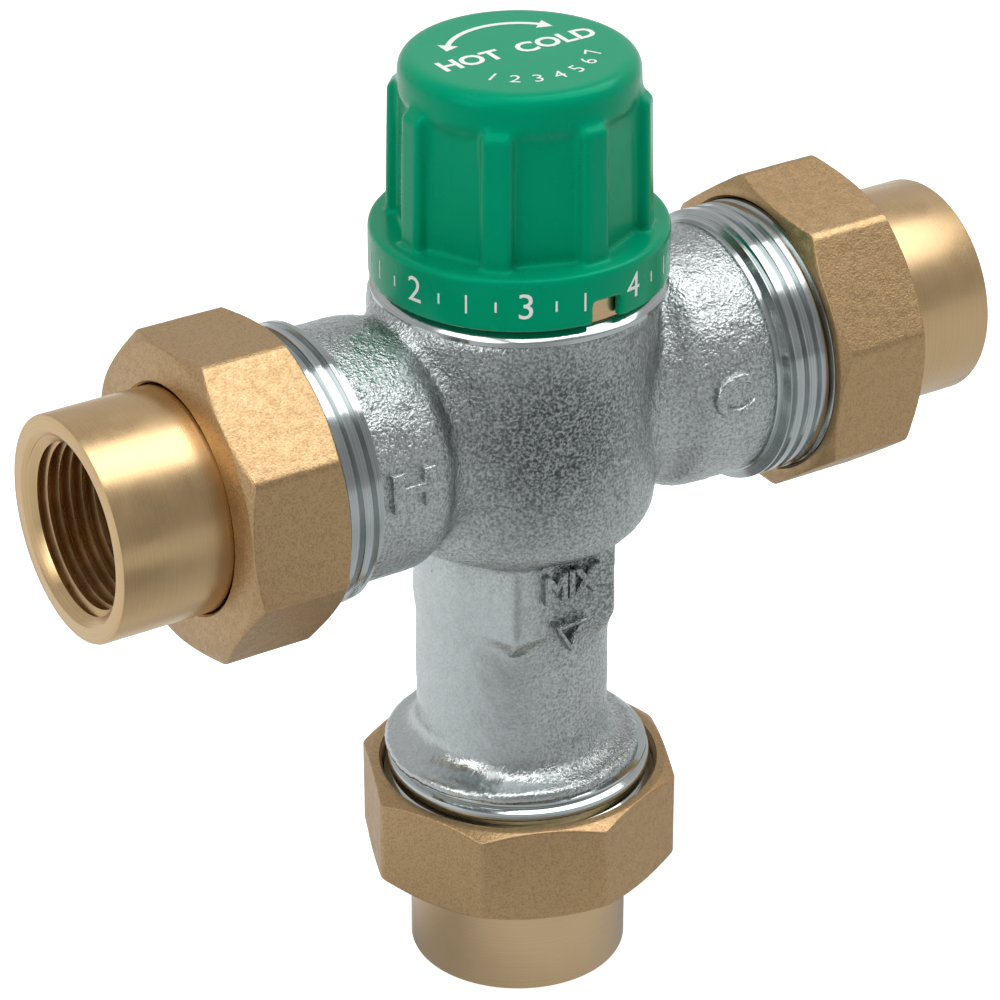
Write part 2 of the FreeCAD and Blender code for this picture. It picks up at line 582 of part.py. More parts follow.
# ------------------------------------------------------------------ the casting
def valve_body():
    """Sand casting with its turned threads, faces and bores."""
    body = new_body("valve_body")
    shift = "0 - cast_shift"
    turned(body, "barrel", [
        ("0", height("0 - barrel_below")), ("barrel_radius", height("0 - barrel_below")),
        ("barrel_radius", height("barrel_above")), ("0", height("barrel_above"))], across=shift)
    rounded(body, "barrel_bottom", "barrel_round",
            lambda edge: is_ring(edge, "barrel_radius", height("0 - barrel_below")))
    step = "(arm_radius - arm_neck_radius)"
    turned(body, "arms", [
        ("0 - arm_end", "0"), ("0 - arm_end", "arm_radius"), ("0 - arm_bulge_start", "arm_radius"),
        ("0 - arm_bulge_start + " + step, "arm_neck_radius"),
        ("arm_bulge_start - " + step, "arm_neck_radius"), ("arm_bulge_start", "arm_radius"),
        ("arm_end", "arm_radius"), ("arm_end", "0")], lying=True, across=shift, along="port_height")
    for side in (-1, 1):
        name = "hot" if side < 0 else "cold"
        place = "%d * arm_bulge_start - cast_shift" % side
        rounded(body, name + "_arm_shoulder", "min(arm_round; (arm_radius - arm_neck_radius) * 2)",
                lambda edge: is_part_ring(edge, "arm_radius", place))
    turned(body, "column", [
        ("0", GROOVE_TOP), ("flare_radius", GROOVE_TOP), ("flare_radius", FLARE_TOP),
        ("column_radius", FLARE_TOP), ("column_radius", height("0 - boss_below - boss_taper")),
        ("boss_radius", height("0 - boss_below")), ("boss_radius", "port_height"), ("0", "port_height")],
        across=shift)
    extruded(body, "marking_pad", lambda sketch: outline(sketch, [
        ("0 - pad_front", height("0 - boss_below")), ("0 - pad_front", height("0 - barrel_below / 2")),
        ("0", height("0 - barrel_below / 2")), ("0", height("0 - boss_below - boss_taper")),
        ("0 - pad_front + boss_taper / 2", height("0 - boss_below - boss_taper"))]),
        "pad_half_width * 2", role="YZ_Plane", lift=shift, centred=True)
    rounded(body, "column_foot", "flare_fillet",
            lambda edge: is_ring(edge, "column_radius", FLARE_TOP))
    rounded(body, "foot_edge", "flare_thick * 0.6",
            lambda edge: is_ring(edge, "flare_radius", FLARE_TOP))
    for side, name in ((-1, "hot"), (1, "cold")):
        inner = "%d * arm_end - cast_shift" % side
        turned(body, name + "_thread", [
            ("0", "0"), ("0", "arm_neck_radius / 2"), (inner, "arm_neck_radius / 2"),
            (inner, "arm_radius + rim_stand"),
            ("%s + %d * rim_stand" % (inner, side), "union_thread_radius"),
            ("%d * %s" % (side, BODY_FACE), "union_thread_radius"),
            ("%d * %s" % (side, BODY_FACE), "0")], lying=True, along="port_height")
    turned(body, "neck_ring", [
        ("0", height("neck_above - neck_ring_below")),
        ("neck_ring_radius", height("neck_above - neck_ring_below")),
        ("neck_ring_radius", height("neck_above")), ("0", height("neck_above"))])
    turned(body, "outlet_thread", [
        ("0", UNION_FACE), ("union_thread_radius", UNION_FACE),
        ("union_thread_radius", RIM_LOW + " - rim_stand"), ("rim_radius", RIM_LOW), ("rim_radius", RIM_TOP),
        ("rim_groove_radius", RIM_TOP), ("rim_groove_radius", GROOVE_TOP), ("0", GROOVE_TOP)])
    # bores from the top down to the outlet
    chamber = "chamber_radius"
    slide_fit = "shuttle_radius + running_gap"
    seat = "(shuttle_radius - shuttle_wall + seat_width)"
    turned(body, "upright_bores", [
        ("0", height("neck_above")), ("bonnet_thread_radius + thread_gap", height("neck_above")),
        ("bonnet_thread_radius + thread_gap", height("bonnet_end_above")),
        (chamber, height("bonnet_end_above")), (chamber, height("web_half")),
        (slide_fit, height("web_half")), (slide_fit, height("0 - web_half")),
        (chamber, height("0 - web_half")), (chamber, height("0 - hot_chamber_below")),
        (seat, height("0 - hot_chamber_below")), (seat, height("0 - hot_seat_below")),
        ("column_bore_radius", height("0 - hot_seat_below")),
        ("column_bore_radius", height("0 - guide_seat_below")),
        ("outlet_bore_radius", height("0 - guide_seat_below")), ("outlet_bore_radius", UNION_FACE),
        ("0", UNION_FACE)], cut=True)
    # cartridge bores, each with a passage to its own ring chamber
    for side, name in ((-1, "hot"), (1, "cold")):
        face = "%d * %s" % (side, BODY_FACE)
        bore = "check_radius + check_fit_gap"
        turned(body, name + "_cartridge_bore", [
            (face, "0"), (face, "check_flange_radius + check_fit_gap"),
            ("%s - %d * check_flange_thick" % (face, side), "check_flange_radius + check_fit_gap"),
            ("%s - %d * check_flange_thick" % (face, side), bore),
            ("%s - %d * check_bore_run" % (face, side), bore),
            ("%s - %d * (check_bore_run + check_bore_cone)" % (face, side), "check_bore_end_radius"),
            ("%s - %d * (check_bore_run + check_bore_cone)" % (face, side), "0")],
            cut=True, lying=True, along="port_height")
        if side < 0:
            low = height("0 - hot_chamber_below + duct_inset")
            high = height("0 - web_half - duct_inset")
            start = "0 - %s + check_bore_run" % BODY_FACE
        else:
            low = height("web_half + duct_inset")
            high = height("bonnet_end_above - duct_inset")
            start = "chamber_radius - duct_overlap"
        extruded(body, name + "_passage", box("0 - duct_half_width", low, "duct_half_width", high),
                 "%s - check_bore_run - chamber_radius + duct_overlap" % BODY_FACE, cut=True, role="YZ_Plane", lift=start)
    return body


# ------------------------------------------------------------------ bonnet, spindle and cap
def bonnet():
    """Turned bonnet with the cold seat under it and the spindle's neck on top."""
    body = new_body("bonnet")
    seat = "(shuttle_radius - shuttle_wall + seat_width)"
    lip = "(shuttle_radius - shuttle_wall)"
    flange_top = height("neck_above + bonnet_flange_thick")
    hex_top = height("neck_above + bonnet_flange_thick + bonnet_hex_height")
    seal_low = height("bonnet_seal_above - seal_wire - running_gap")
    seal_high = height("bonnet_seal_above + seal_wire + running_gap")
    groove = "bonnet_thread_radius - seal_wire * 2"
    turned(body, "bonnet_turned", [
        ("0", height("bonnet_end_above")), (lip, height("bonnet_end_above")),
        (lip, height("cold_seat_above")), (seat, height("cold_seat_above")),
        (seat, height("bonnet_end_above")), ("bonnet_thread_radius", height("bonnet_end_above")),
        ("bonnet_thread_radius", seal_low), (groove, seal_low), (groove, seal_high),
        ("bonnet_thread_radius", seal_high), ("bonnet_thread_radius", height("neck_above")),
        ("bonnet_flange_radius", height("neck_above")), ("bonnet_flange_radius", flange_top),
        ("bonnet_neck_radius", flange_top), ("bonnet_neck_radius", height("bonnet_neck_top")),
        ("0", height("bonnet_neck_top"))])
    extruded(body, "bonnet_hexagon", polygon(6, "bonnet_hex_across / 2"),
             "bonnet_hex_height + bonnet_flange_thick / 2",
             lift=height("neck_above + bonnet_flange_thick / 2"))
    turned(body, "bonnet_bores", [
        ("0", height("lifter_top_above + lifter_travel")),
        ("thrust_radius + thrust_gap", height("lifter_top_above + lifter_travel")),
        ("thrust_radius + thrust_gap", height("bonnet_thrust_top")),
        ("spindle_radius + running_gap", height("bonnet_thrust_top")),
        ("spindle_radius + running_gap", height("bonnet_neck_top")), ("0", height("bonnet_neck_top"))],
        cut=True)
    extruded(body, "lifter_hexagon", polygon(6, "lifter_across / 2 + lifter_side_gap"),
             "lifter_top_above + lifter_travel + thrust_gap - bonnet_end_above",
             cut=True, lift=height("bonnet_end_above"))
    return body


def spindle():
    """Adjusting spindle: thread below, collar, O-ring groove, clip groove and splines."""
    body = new_body("spindle")
    collar_top = height("bonnet_thrust_top - thrust_gap")
    collar_low = height("bonnet_thrust_top - thrust_gap - thrust_thick")
    seal_low = height("spindle_seal_above - seal_wire - running_gap")
    seal_high = height("spindle_seal_above + seal_wire + running_gap")
    groove = "spindle_radius - seal_wire * 2"
    clip_low = height("bonnet_neck_top + running_gap")
    clip_high = height("bonnet_neck_top + running_gap + clip_thick")
    turned(body, "spindle_turned", [
        ("0", height("stub_end_above")), ("stub_radius", height("stub_end_above")),
        ("stub_radius", collar_low), ("thrust_radius", collar_low), ("thrust_radius", collar_top),
        ("spindle_radius", collar_top), ("spindle_radius", seal_low), (groove, seal_low),
        (groove, seal_high), ("spindle_radius", seal_high), ("spindle_radius", clip_low),
        ("spindle_radius - clip_groove_depth", clip_low), ("spindle_radius - clip_groove_depth", clip_high),
        ("spline_radius", clip_high), ("spline_radius", height("spline_top")),
        ("0", height("spline_top"))])
    spline = extruded(body, "spindle_spline", disc("spline_cut_radius", across="spline_radius"),
                      "spline_top - bonnet_neck_top", cut=True, lift=clip_high)
    around(body, spline, "spline_count")
    return body


def spindle_clip():
    """Open ring that keeps the spindle up in the bonnet."""
    body = new_body("spindle_clip")
    low = height("bonnet_neck_top + running_gap")
    turned(body, "clip_ring", [
        ("spindle_radius - clip_groove_depth", low), ("clip_radius", low),
        ("clip_radius", low + " + clip_thick"),
        ("spindle_radius - clip_groove_depth", low + " + clip_thick")])
    extruded(body, "clip_gap", box("0 - spindle_radius / 3", "0", "spindle_radius / 3", "clip_radius * 1.2"),
             "clip_thick * 3", cut=True, lift=low + " - clip_thick")
    return body


def temperature_cap():
    """Moulded grip cap: skirt, flat panels, ribs, round head and a splined boss."""
    body = new_body("temperature_cap")
    skirt_top = height("cap_low + cap_skirt_height")
    turned(body, "cap_skirt", [
        ("0", height("cap_low")), ("cap_radius", height("cap_low")), ("cap_radius", skirt_top),
        ("0", skirt_top)])
    rounded(body, "cap_skirt_edge", "cap_skirt_round", lambda edge: is_ring(edge, "cap_radius", skirt_top))
    crown = "cap_dome_radius - cap_dome_draft"
    turned(body, "cap_head", [
        ("0", height("cap_dome_low - cap_dome_taper")),
        ("cap_panel - cap_dome_taper / 4", height("cap_dome_low - cap_dome_taper")),
        ("cap_dome_radius", height("cap_dome_low")), (crown, height("cap_top")),
        ("0", height("cap_top"))])
    rounded(body, "cap_head_edge", "cap_dome_round", lambda edge: is_ring(edge, crown, height("cap_top")))
    sides = int(number("cap_rib_count"))
    turn = 180 / sides
    foot = sketch_on(body, "cap_panel_foot", "XY_Plane", lift=skirt_top)
    polygon(sides, "cap_panel + cap_panel_draft", turn)(foot)
    head = sketch_on(body, "cap_panel_head", "XY_Plane", lift=height("cap_dome_low"))
    polygon(sides, "cap_panel", turn)(head)
    panels = body.newObject("PartDesign::AdditiveLoft", "cap_panels")
    panels.Profile = foot
    panels.Sections = [head]
    panels.Ruled = True
    rib = extruded(body, "cap_rib", lambda sketch: outline(sketch, [
        ("cap_panel / 2", skirt_top), ("cap_rib_reach", skirt_top),
        ("cap_rib_reach - cap_rib_draft", height("cap_rib_high - cap_rib_shoulder")),
        ("cap_panel", height("cap_rib_high")), ("cap_panel / 2", height("cap_rib_high"))]),
        "cap_rib_width", role="XZ_Plane", centred=True)
    rib_edges = rounded(body, "cap_rib_edges", "cap_rib_round", lambda edge: (
        edge.BoundBox.XMax > number("cap_dome_radius") + 0.5
        and abs(edge.BoundBox.Center.y) < number("cap_rib_width") / 2 + 1e-3
        and edge.BoundBox.ZMax > number(skirt_top) + 0.1
        and edge.BoundBox.XLength < number("cap_rib_reach - cap_panel")
        and edge.BoundBox.ZMax < number(height("cap_rib_high")) + 1e-3))
    pattern = body.newObject("PartDesign::PolarPattern", "cap_ribs")
    axis = next(item for item in body.Origin.OriginFeatures if item.Role == "Z_Axis")
    pattern.Originals = [rib, rib_edges]
    pattern.Axis = (axis, [""])
    pattern.Angle = 360
    pattern.setExpression("Occurrences", bound("cap_rib_count"))
    body.Tip = pattern
    ceiling = height("cap_top - cap_roof")
    skirt_bore = "cap_radius - cap_skirt_wall"
    shelf = height("cap_low + cap_skirt_height - cap_skirt_wall")
    turned(body, "cap_hollow", [
        ("cap_boss_radius", height("cap_boss_low")), ("0", height("cap_boss_low")), ("0", height("cap_low")),
        (skirt_bore, height("cap_low")), (skirt_bore, shelf), ("cap_panel - cap_wall + cap_panel_draft", shelf),
        ("cap_panel - cap_wall", ceiling), ("cap_boss_radius", ceiling)], cut=True)
    socket = extruded(body, "cap_socket", disc("spline_radius + cap_spline_gap"),
                      "spline_top - cap_boss_low + cap_spline_gap * 2 + seal_wire",
                      cut=True, lift=height("cap_boss_low - seal_wire"))
    tooth = extruded(body, "cap_spline", disc("spline_cut_radius - cap_spline_gap",
                                              across="spline_radius + cap_spline_gap / 2"),
                     "spline_top - cap_boss_low", lift=height("cap_boss_low"))
    around(body, tooth, "spline_count")
    extruded(body, "pry_notch", box("0 - notch_width / 2", height("cap_low - 1"),
                                    "notch_width / 2", height("cap_low + notch_height")),
             "cap_radius", cut=True, role="XZ_Plane", lift="cap_radius / 2")
    return body


def turned_as_set(piece):
    """Turn a piece about the upright axis, as the cap is set."""
    turn = FreeCAD.Rotation(Vector(0, 0, 1), number("cap_rib_turn"))
    piece.Placement = FreeCAD.Placement(Vector(0, 0, 0), turn)
    return piece


# ------------------------------------------------------------------ lifter group
def lifter_nut():
    """Keyed nut that the spindle's thread raises and lowers."""
    body = new_body("lifter_nut")
    extruded(body, "lifter_flats", polygon(6, "lifter_across / 2"), "lifter_top_above - lifter_hex_low",
             lift=height("lifter_hex_low"))
    turned(body, "lifter_tube", [
        ("0", height("lifter_tube_low")), ("lifter_tube_radius", height("lifter_tube_low")),
        ("lifter_tube_radius", height("lifter_top_above")), ("0", height("lifter_top_above"))])
    ring_low = height("cup_low - cup_clip_thick")
    turned(body, "lifter_bores", [
        ("0", height("lifter_tube_low")), ("lifter_tube_bore", height("lifter_tube_low")),
        ("lifter_tube_bore", ring_low), ("lifter_tube_bore + cup_clip_grip", ring_low),
        ("lifter_tube_bore + cup_clip_grip", height("cup_low")), ("lifter_tube_bore", height("cup_low")),
        ("lifter_tube_bore", height("lifter_roof_above")),
        ("stub_radius + running_gap", height("lifter_roof_above")),
        ("stub_radius + running_gap", height("lifter_top_above")), ("0", height("lifter_top_above"))],
        cut=True)
    return body


def overload_cup():
    """Cup that carries the push pin and gives way against its spring."""
    body = new_body("overload_cup")
    turned(body, "cup_turned", [
        ("0", height("pin_top")), ("pin_radius", height("pin_top")), ("pin_radius", height("cup_low")),
        ("cup_radius", height("cup_low")), ("cup_radius", height("cup_low + cup_flange_thick")),
        ("cup_hub_radius", height("cup_low + cup_flange_thick")), ("cup_hub_radius", height("cup_hub_top")),
        ("0", height("cup_hub_top"))])
    return body


def cup_clip():
    """Snap ring that holds the cup in the lifter."""
    body = new_body("cup_clip")
    low = height("cup_low - cup_clip_thick")
    outer = "lifter_tube_bore + cup_clip_grip"
    turned(body, "cup_clip_ring", [
        ("cup_clip_bore", low), (outer, low), (outer, height("cup_low")), ("cup_clip_bore", height("cup_low"))])
    extruded(body, "cup_clip_gap", box("0 - pin_radius", "0", "pin_radius", "lifter_tube_radius * 1.2"),
             "cup_clip_thick * 3", cut=True, lift=low + " - cup_clip_thick")
    return body


def push_pin():
    """Steel pin that the wax drives out of its capsule."""
    body = new_body("push_pin")
    extruded(body, "pin_rod", disc("pin_radius"), "pin_length", lift=height("pin_top - pin_length"))
    return body


# ------------------------------------------------------------------ wax capsule group
def wax_capsule():
    """Copper wax element with its pin guide, flange and guide tail."""
    body = new_body("wax_capsule")
    flange_low = "capsule_flange_top - capsule_flange_thick"
    turned(body, "capsule_turned", [
        ("0", height("capsule_tail_low")), ("capsule_tail_radius", height("capsule_tail_low")),
        ("capsule_tail_radius", height("capsule_low")), ("capsule_radius", height("capsule_low + capsule_radius / 4")),
        ("capsule_radius", height(flange_low)), ("capsule_flange_radius", height(flange_low)),
        ("capsule_flange_radius", height("capsule_flange_top")),
        ("capsule_neck_radius", height("capsule_flange_top")),
        ("capsule_neck_radius", height("capsule_neck_top")),
        ("pin_radius + running_gap", height("capsule_neck_top")),
        ("pin_radius + running_gap", height("pin_floor")), ("0", height("pin_floor"))])
    return body


def shuttle():
    """Sliding piston with a spoked hub, which meters hot against cold."""
    body = new_body("shuttle")
    inner = "(shuttle_radius - shuttle_wall)"
    hub_top = height("capsule_flange_top + shuttle_hub_thick")
    groove = "(shuttle_radius - shuttle_seal_wire * 2)"
    turned(body, "shuttle_turned", [
        ("capsule_neck_radius", height("capsule_flange_top")), (inner, height("capsule_flange_top")),
        (inner, height("shuttle_low")), ("shuttle_radius", height("shuttle_low")),
        ("shuttle_radius", height("0 - shuttle_seal_wire * 1.1")),
        (groove, height("0 - shuttle_seal_wire * 1.1")), (groove, height("shuttle_seal_wire * 1.1")),
        ("shuttle_radius", height("shuttle_seal_wire * 1.1")), ("shuttle_radius", height("shuttle_top")),
        (inner, height("shuttle_top")), (inner, hub_top), ("capsule_neck_radius", hub_top)])
    port = extruded(body, "shuttle_port",
                    box("0 - shuttle_port_width / 2", "shuttle_hub_radius", "shuttle_port_width / 2",
                        inner + " - web_half / 8"),
                    "shuttle_hub_thick * 1.5", cut=True,
                    lift=height("capsule_flange_top - shuttle_hub_thick / 4"))
    around(body, port, "spline_count / 2")
    return body


def outlet_guide():
    """Spoked ring in the column that carries the return spring and guides the capsule."""
    body = new_body("outlet_guide")
    low = height("0 - guide_seat_below")
    outer = "(column_bore_radius - guide_gap)"
    turned(body, "guide_turned", [
        ("capsule_tail_radius + running_gap", low), (outer, low), (outer, low + " + guide_thick"),
        ("capsule_tail_radius + running_gap", low + " + guide_thick")])
    port = extruded(body, "guide_port",
                    box("0 - guide_thick * 0.55", "capsule_tail_radius + guide_rim / 2", "guide_thick * 0.55",
                        outer + " - guide_rim"),
                    "guide_thick * 2", cut=True, lift=low + " - guide_thick / 2")
    around(body, port, "spline_count / 3")
    return body


# ------------------------------------------------------------------ build
valve_body()
for port in ("hot", "cold", "outlet"):
    union_nut(port)
    tailpiece(port)
    union_gasket(port)
for port in ("hot", "cold"):
    strainer(port)
    check_cage(port)
    check_poppet(port)
    check_seal(port)
    check_spring(port)
bonnet()
o_ring("bonnet_seal", "bonnet_thread_radius - seal_wire", "seal_wire", height("bonnet_seal_above"))
turned_as_set(spindle())
o_ring("spindle_seal", "spindle_radius - seal_wire", "seal_wire", height("spindle_seal_above"))
spindle_clip()
turned_as_set(temperature_cap())
lifter_nut()
overload_cup()
cup_clip()
push_pin()
coil_spring("overload_spring", "overload_spring_radius", "overload_spring_wire", "overload_spring_turns",
            height("cup_low + cup_flange_thick"), height("lifter_roof_above"))
wax_capsule()
shuttle()
o_ring("shuttle_seal", "shuttle_radius - shuttle_seal_wire", "shuttle_seal_wire", height("0"))
coil_spring("return_spring", "return_spring_radius", "return_spring_wire", "return_spring_turns",
            height("0 - guide_seat_below + guide_thick"),
            height("capsule_flange_top - capsule_flange_thick"))
outlet_guide()
doc.recompute()

# ------------------------------------------------------------------ check and write
for item in doc.Objects:
    if "Invalid" in item.State or "Error" in item.State:
        raise RuntimeError("%s did not build: %s" % (item.Name, item.State))
for piece in FINISHED:
    if piece.Shape.isNull() or not piece.Shape.isValid() or len(piece.Shape.Solids) != 1:
        raise RuntimeError("%s is not one valid solid" % piece.Label)
for piece in FINISHED:
    piece.Shape.exportStep("parts/%s.step" % piece.Label)
print("%d pieces written" % len(FINISHED))
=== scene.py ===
"""Dressed model of a three-port thermostatic mixing valve.

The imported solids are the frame. The casting, the union nuts, the tailpieces, the cap and its print are
made here in metres, in that frame, and every other piece keeps its own solid with a better finish.
"""
import bpy
import bmesh
import logging
import math
from contextlib import contextmanager
from dataclasses import dataclass
from enum import Enum
from functools import partial
from typing import Callable, Iterator, Optional, Sequence

import numpy as np
from mathutils import Matrix, Vector, noise


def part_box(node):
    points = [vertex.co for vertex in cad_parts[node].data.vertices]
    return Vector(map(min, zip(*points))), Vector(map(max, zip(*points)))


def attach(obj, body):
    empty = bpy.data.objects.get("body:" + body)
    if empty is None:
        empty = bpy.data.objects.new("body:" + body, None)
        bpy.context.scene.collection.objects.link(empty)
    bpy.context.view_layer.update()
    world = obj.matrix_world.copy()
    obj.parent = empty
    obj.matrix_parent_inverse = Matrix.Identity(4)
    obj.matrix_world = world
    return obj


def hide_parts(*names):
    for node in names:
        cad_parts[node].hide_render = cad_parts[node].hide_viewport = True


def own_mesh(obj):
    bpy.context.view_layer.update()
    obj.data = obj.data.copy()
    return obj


Object, Mesh, Material, Node = bpy.types.Object, bpy.types.Mesh, bpy.types.Material, bpy.types.Node

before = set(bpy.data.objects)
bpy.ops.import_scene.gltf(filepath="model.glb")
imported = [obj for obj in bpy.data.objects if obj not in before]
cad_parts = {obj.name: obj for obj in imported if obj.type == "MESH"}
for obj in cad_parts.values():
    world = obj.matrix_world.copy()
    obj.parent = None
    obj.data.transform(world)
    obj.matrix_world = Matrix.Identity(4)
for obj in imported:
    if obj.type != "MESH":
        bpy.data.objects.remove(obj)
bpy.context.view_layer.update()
LOG = logging.getLogger("mixing_valve")
MM = 0.001
AXIS_MM = 92.7  # height of the inlets' common axis
PORT_HEIGHT = AXIS_MM * MM
PORT_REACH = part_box("cold_tailpiece")[1].x
HELIX_STEPS = 96  # steps in a turn of a thread
EM = 1.38  # the font's em over the height of its capitals
METAL = {"Metallic": 1.0}
WHITE = (1.0, 1.0, 1.0, 1.0)


def turned(degrees: float, axis: str) -> Matrix:
    """Matrix that turns by some degrees about an axis."""
    return Matrix.Rotation(math.radians(degrees), 4, axis)


def moved(x: float, y: float, z: float) -> Matrix:
    """Matrix that moves by millimetres."""
    return Matrix.Translation((x * MM, y * MM, z * MM))


def clamped(value: float) -> float:
    """Keep a share between 0 and 1."""
    return min(max(value, 0.0), 1.0)


# ------------------------------------------------------------------ options and finishes
class Cut(Enum):
    """Ways to combine two closed meshes."""

    UNION = "UNION"
    DIFFERENCE = "DIFFERENCE"
    INTERSECT = "INTERSECT"


class Port(Enum):
    """The three ports, with the pieces' name prefix."""

    HOT = "hot"
    COLD = "cold"
    OUTLET = "outlet"

    def placement(self) -> Matrix:
        """Matrix from a port's own axis, mouth at zero and +Z inwards, to its place."""
        if self is Port.OUTLET:
            return Matrix.Identity(4)
        side = -1.0 if self is Port.HOT else 1.0
        return Matrix.Translation((side * PORT_REACH, 0, PORT_HEIGHT)) @ turned(-side * 90, "Y")


def linear(hex_colour: str) -> tuple[float, float, float, float]:
    """Turn an sRGB hex colour into linear RGBA.

    Args:
        hex_colour: Six hex digits.

    Returns:
        Linear red, green, blue and an alpha of one.
    """
    channels = [int(hex_colour[place:place + 2], 16) / 255 for place in (0, 2, 4)]
    red, green, blue = [c / 12.92 if c <= 0.04045 else ((c + 0.055) / 1.055) ** 2.4 for c in channels]
    return red, green, blue, 1.0


def add_node(owner: bpy.types.ID, kind: str, settings: Optional[dict] = None,
             links: Optional[dict] = None) -> Node:
    """Add one shader node with its settings and incoming links.

    Args:
        owner: Material or world that gets the node.
        kind: Node type identifier, without the "ShaderNode" in front.
        settings: Attribute names, or input names and numbers, with their values.
        links: Input names or numbers, each with an output socket or a node whose first output feeds it.

    Returns:
        The new node.
    """
    tree = owner.node_tree
    made = tree.nodes.new("ShaderNode" + kind)
    for key, value in (settings or {}).items():
        if isinstance(key, int) or key in made.inputs:
            made.inputs[key].default_value = value
        else:
            setattr(made, key, value)
    for key, source in (links or {}).items():
        tree.links.new(source.outputs[0] if isinstance(source, Node) else source, made.inputs[key])
    return made


def blank_material(name: str) -> tuple[Material, Callable, bpy.types.NodeSocket]:
    """Make an empty node material.

    Args:
        name: Name of the material.

    Returns:
        The material, the function that adds a node to it, and its Object coordinates.
    """
    material = bpy.data.materials.new(name)
    material.use_nodes = True
    material.node_tree.nodes.clear()
    add = partial(add_node, material)
    return material, add, add("TexCoord").outputs["Object"]


def close_material(material: Material, colour: Node, cloud: Node,
                   roughness: tuple[float, float], bump: Node, settings: dict) -> Material:
    """Add the shader, with a roughness that drifts with a noise, and the output.

    Args:
        material: Material to close.
        colour: Mix node that gives the colour.
        cloud: Noise that the roughness drifts with.
        roughness: Roughness where the noise is low and where it is high.
        bump: Bump node.
        settings: Shader inputs that are the same all over.

    Returns:
        The same material.
    """
    low, high = roughness
    rough = add_node(material, "MapRange", {"From Min": 0.3, "From Max": 0.7, "To Min": low, "To Max": high},
                     {"Value": cloud})
    shader = add_node(material, "BsdfPrincipled", settings,
                      {"Base Color": colour.outputs[2], "Roughness": rough, "Normal": bump})
    add_node(material, "OutputMaterial", links={"Surface": shader})
    return material


@dataclass(frozen=True)
class CoarsePatch:
    """Place where the skin is coarse and the plate darker: partly duller plate, partly painted self-shadow of
    the rough skin.
    """

    middle: tuple[float, float, float]
    inner_mm: float
    outer_mm: float
    share: float


@dataclass(frozen=True)
class PlatedCasting:
    """Bright nickel-chrome plate over a sand-cast skin: mirror-like, broken up by the sand's grain."""

    colour: str = "C8CECE"
    pit_colour: str = "858B8A"
    # colour of the coarse patches: duller plate with painted self-shadow
    coarse_colour: str = "505655"
    roughness: float = 0.2
    grain_mm: float = 0.43
    grain_height_mm: float = 0.25
    lump_mm: float = 2.4
    hole_mm: float = 0.7
    barrel_front: CoarsePatch = CoarsePatch((-0.006, -0.020, 0.097), 6, 20, 1.0)
    pad_front: CoarsePatch = CoarsePatch((0.001, -0.0145, 0.067), 5, 13, 0.6)

    def material(self) -> Material:
        """Build the material."""
        made, add, spot = blank_material("nickel_plated_sand_casting")
        # sand grains printed into the skin, soft-edged because the plate levels them
        grain = add("TexNoise", {"Scale": 1 / (self.grain_mm * MM), "Detail": 2.2, "Roughness": 0.55},
                    {"Vector": spot})
        lumps = add("TexNoise", {"Scale": 1 / (self.lump_mm * MM), "Detail": 1.0}, {"Vector": spot})
        height = add("Math", {"operation": "ADD"}, {0: lumps, 1: grain})
        # the lower left of the casting came out of a smoother part of the mould
        split = add("SeparateXYZ", links={0: spot})
        rightwards = add("MapRange", {"From Min": -10 * MM, "From Max": -2 * MM, "To Min": 0.28},
                         {"Value": split.outputs[0]})
        upwards = add("MapRange", {"From Min": 64 * MM, "From Max": 78 * MM}, {"Value": split.outputs[2]})
        strength = add("Math", {"operation": "MAXIMUM"}, {0: rightwards, 1: upwards})
        bump = add("Bump", {"Distance": self.grain_height_mm * MM}, {"Height": height, "Strength": strength})
        # pits between the grains stay duller, and so do a few gas holes
        pits = add("MapRange", {"From Min": 0.30, "From Max": 0.60, "To Min": 0.85, "To Max": 0.0},
                   {"Value": grain})
        gas = add("TexNoise", {"Scale": 1 / (self.hole_mm * MM), "Detail": 1.0}, {"Vector": spot})
        holes = add("MapRange", {"From Min": 0.77, "From Max": 0.81}, {"Value": gas})
        # painted shade: concave places of the skin, found by their pointiness, darken towards the pit colour;
        # convex ridges keep the plate colour
        surface = add("NewGeometry")
        hollow = add("MapRange", {"From Min": 0.42, "From Max": 0.495, "To Min": 0.9, "To Max": 0.0},
                     {"Value": surface.outputs["Pointiness"]})
        worn = add("Math", {"operation": "MULTIPLY"}, {0: pits, 1: strength})
        # pits of the grain together with the painted shade of the concave places
        thin = add("Math", {"operation": "MAXIMUM"}, {0: worn, 1: hollow})
        dull_and_shade = add("Math", {"operation": "MAXIMUM"}, {0: thin, 1: holes})
        plate = add("Mix", {"data_type": "RGBA", 6: linear(self.colour), 7: linear(self.pit_colour)},
                    {0: dull_and_shade})
        # the coarse patches get a darker colour, strongest in the valleys of the grain: partly duller plate,
        # partly painted self-shadow of the rough skin
        greys = []
        for patch in (self.barrel_front, self.pad_front):
            away = add("VectorMath", {"operation": "DISTANCE", 1: patch.middle}, {0: spot})
            greys.append(add("MapRange", {"From Min": patch.inner_mm * MM, "From Max": patch.outer_mm * MM,
                                          "To Min": patch.share, "To Max": 0.0},
                             {"Value": away.outputs["Value"]}))
        either = add("Math", {"operation": "MAXIMUM"}, {0: greys[0], 1: greys[1]})
        valleys = add("MapRange", {"From Min": 0.36, "From Max": 0.64, "To Min": 1.0, "To Max": 0.28},
                      {"Value": grain})
        both = add("Math", {"operation": "MULTIPLY"}, {0: either, 1: valleys})
        grey = add("Math", {"operation": "MULTIPLY"}, {0: both, 1: strength})
        colour = add("Mix", {"data_type": "RGBA", 7: linear(self.coarse_colour)},
                     {0: grey, 6: plate.outputs[2]})
        roughness = (self.roughness + 0.1, self.roughness)
        return close_material(made, colour, lumps, roughness, bump, METAL)


class Axis(Enum):
    """Axis that a turned face runs round."""

    X = 0
    Z = 2


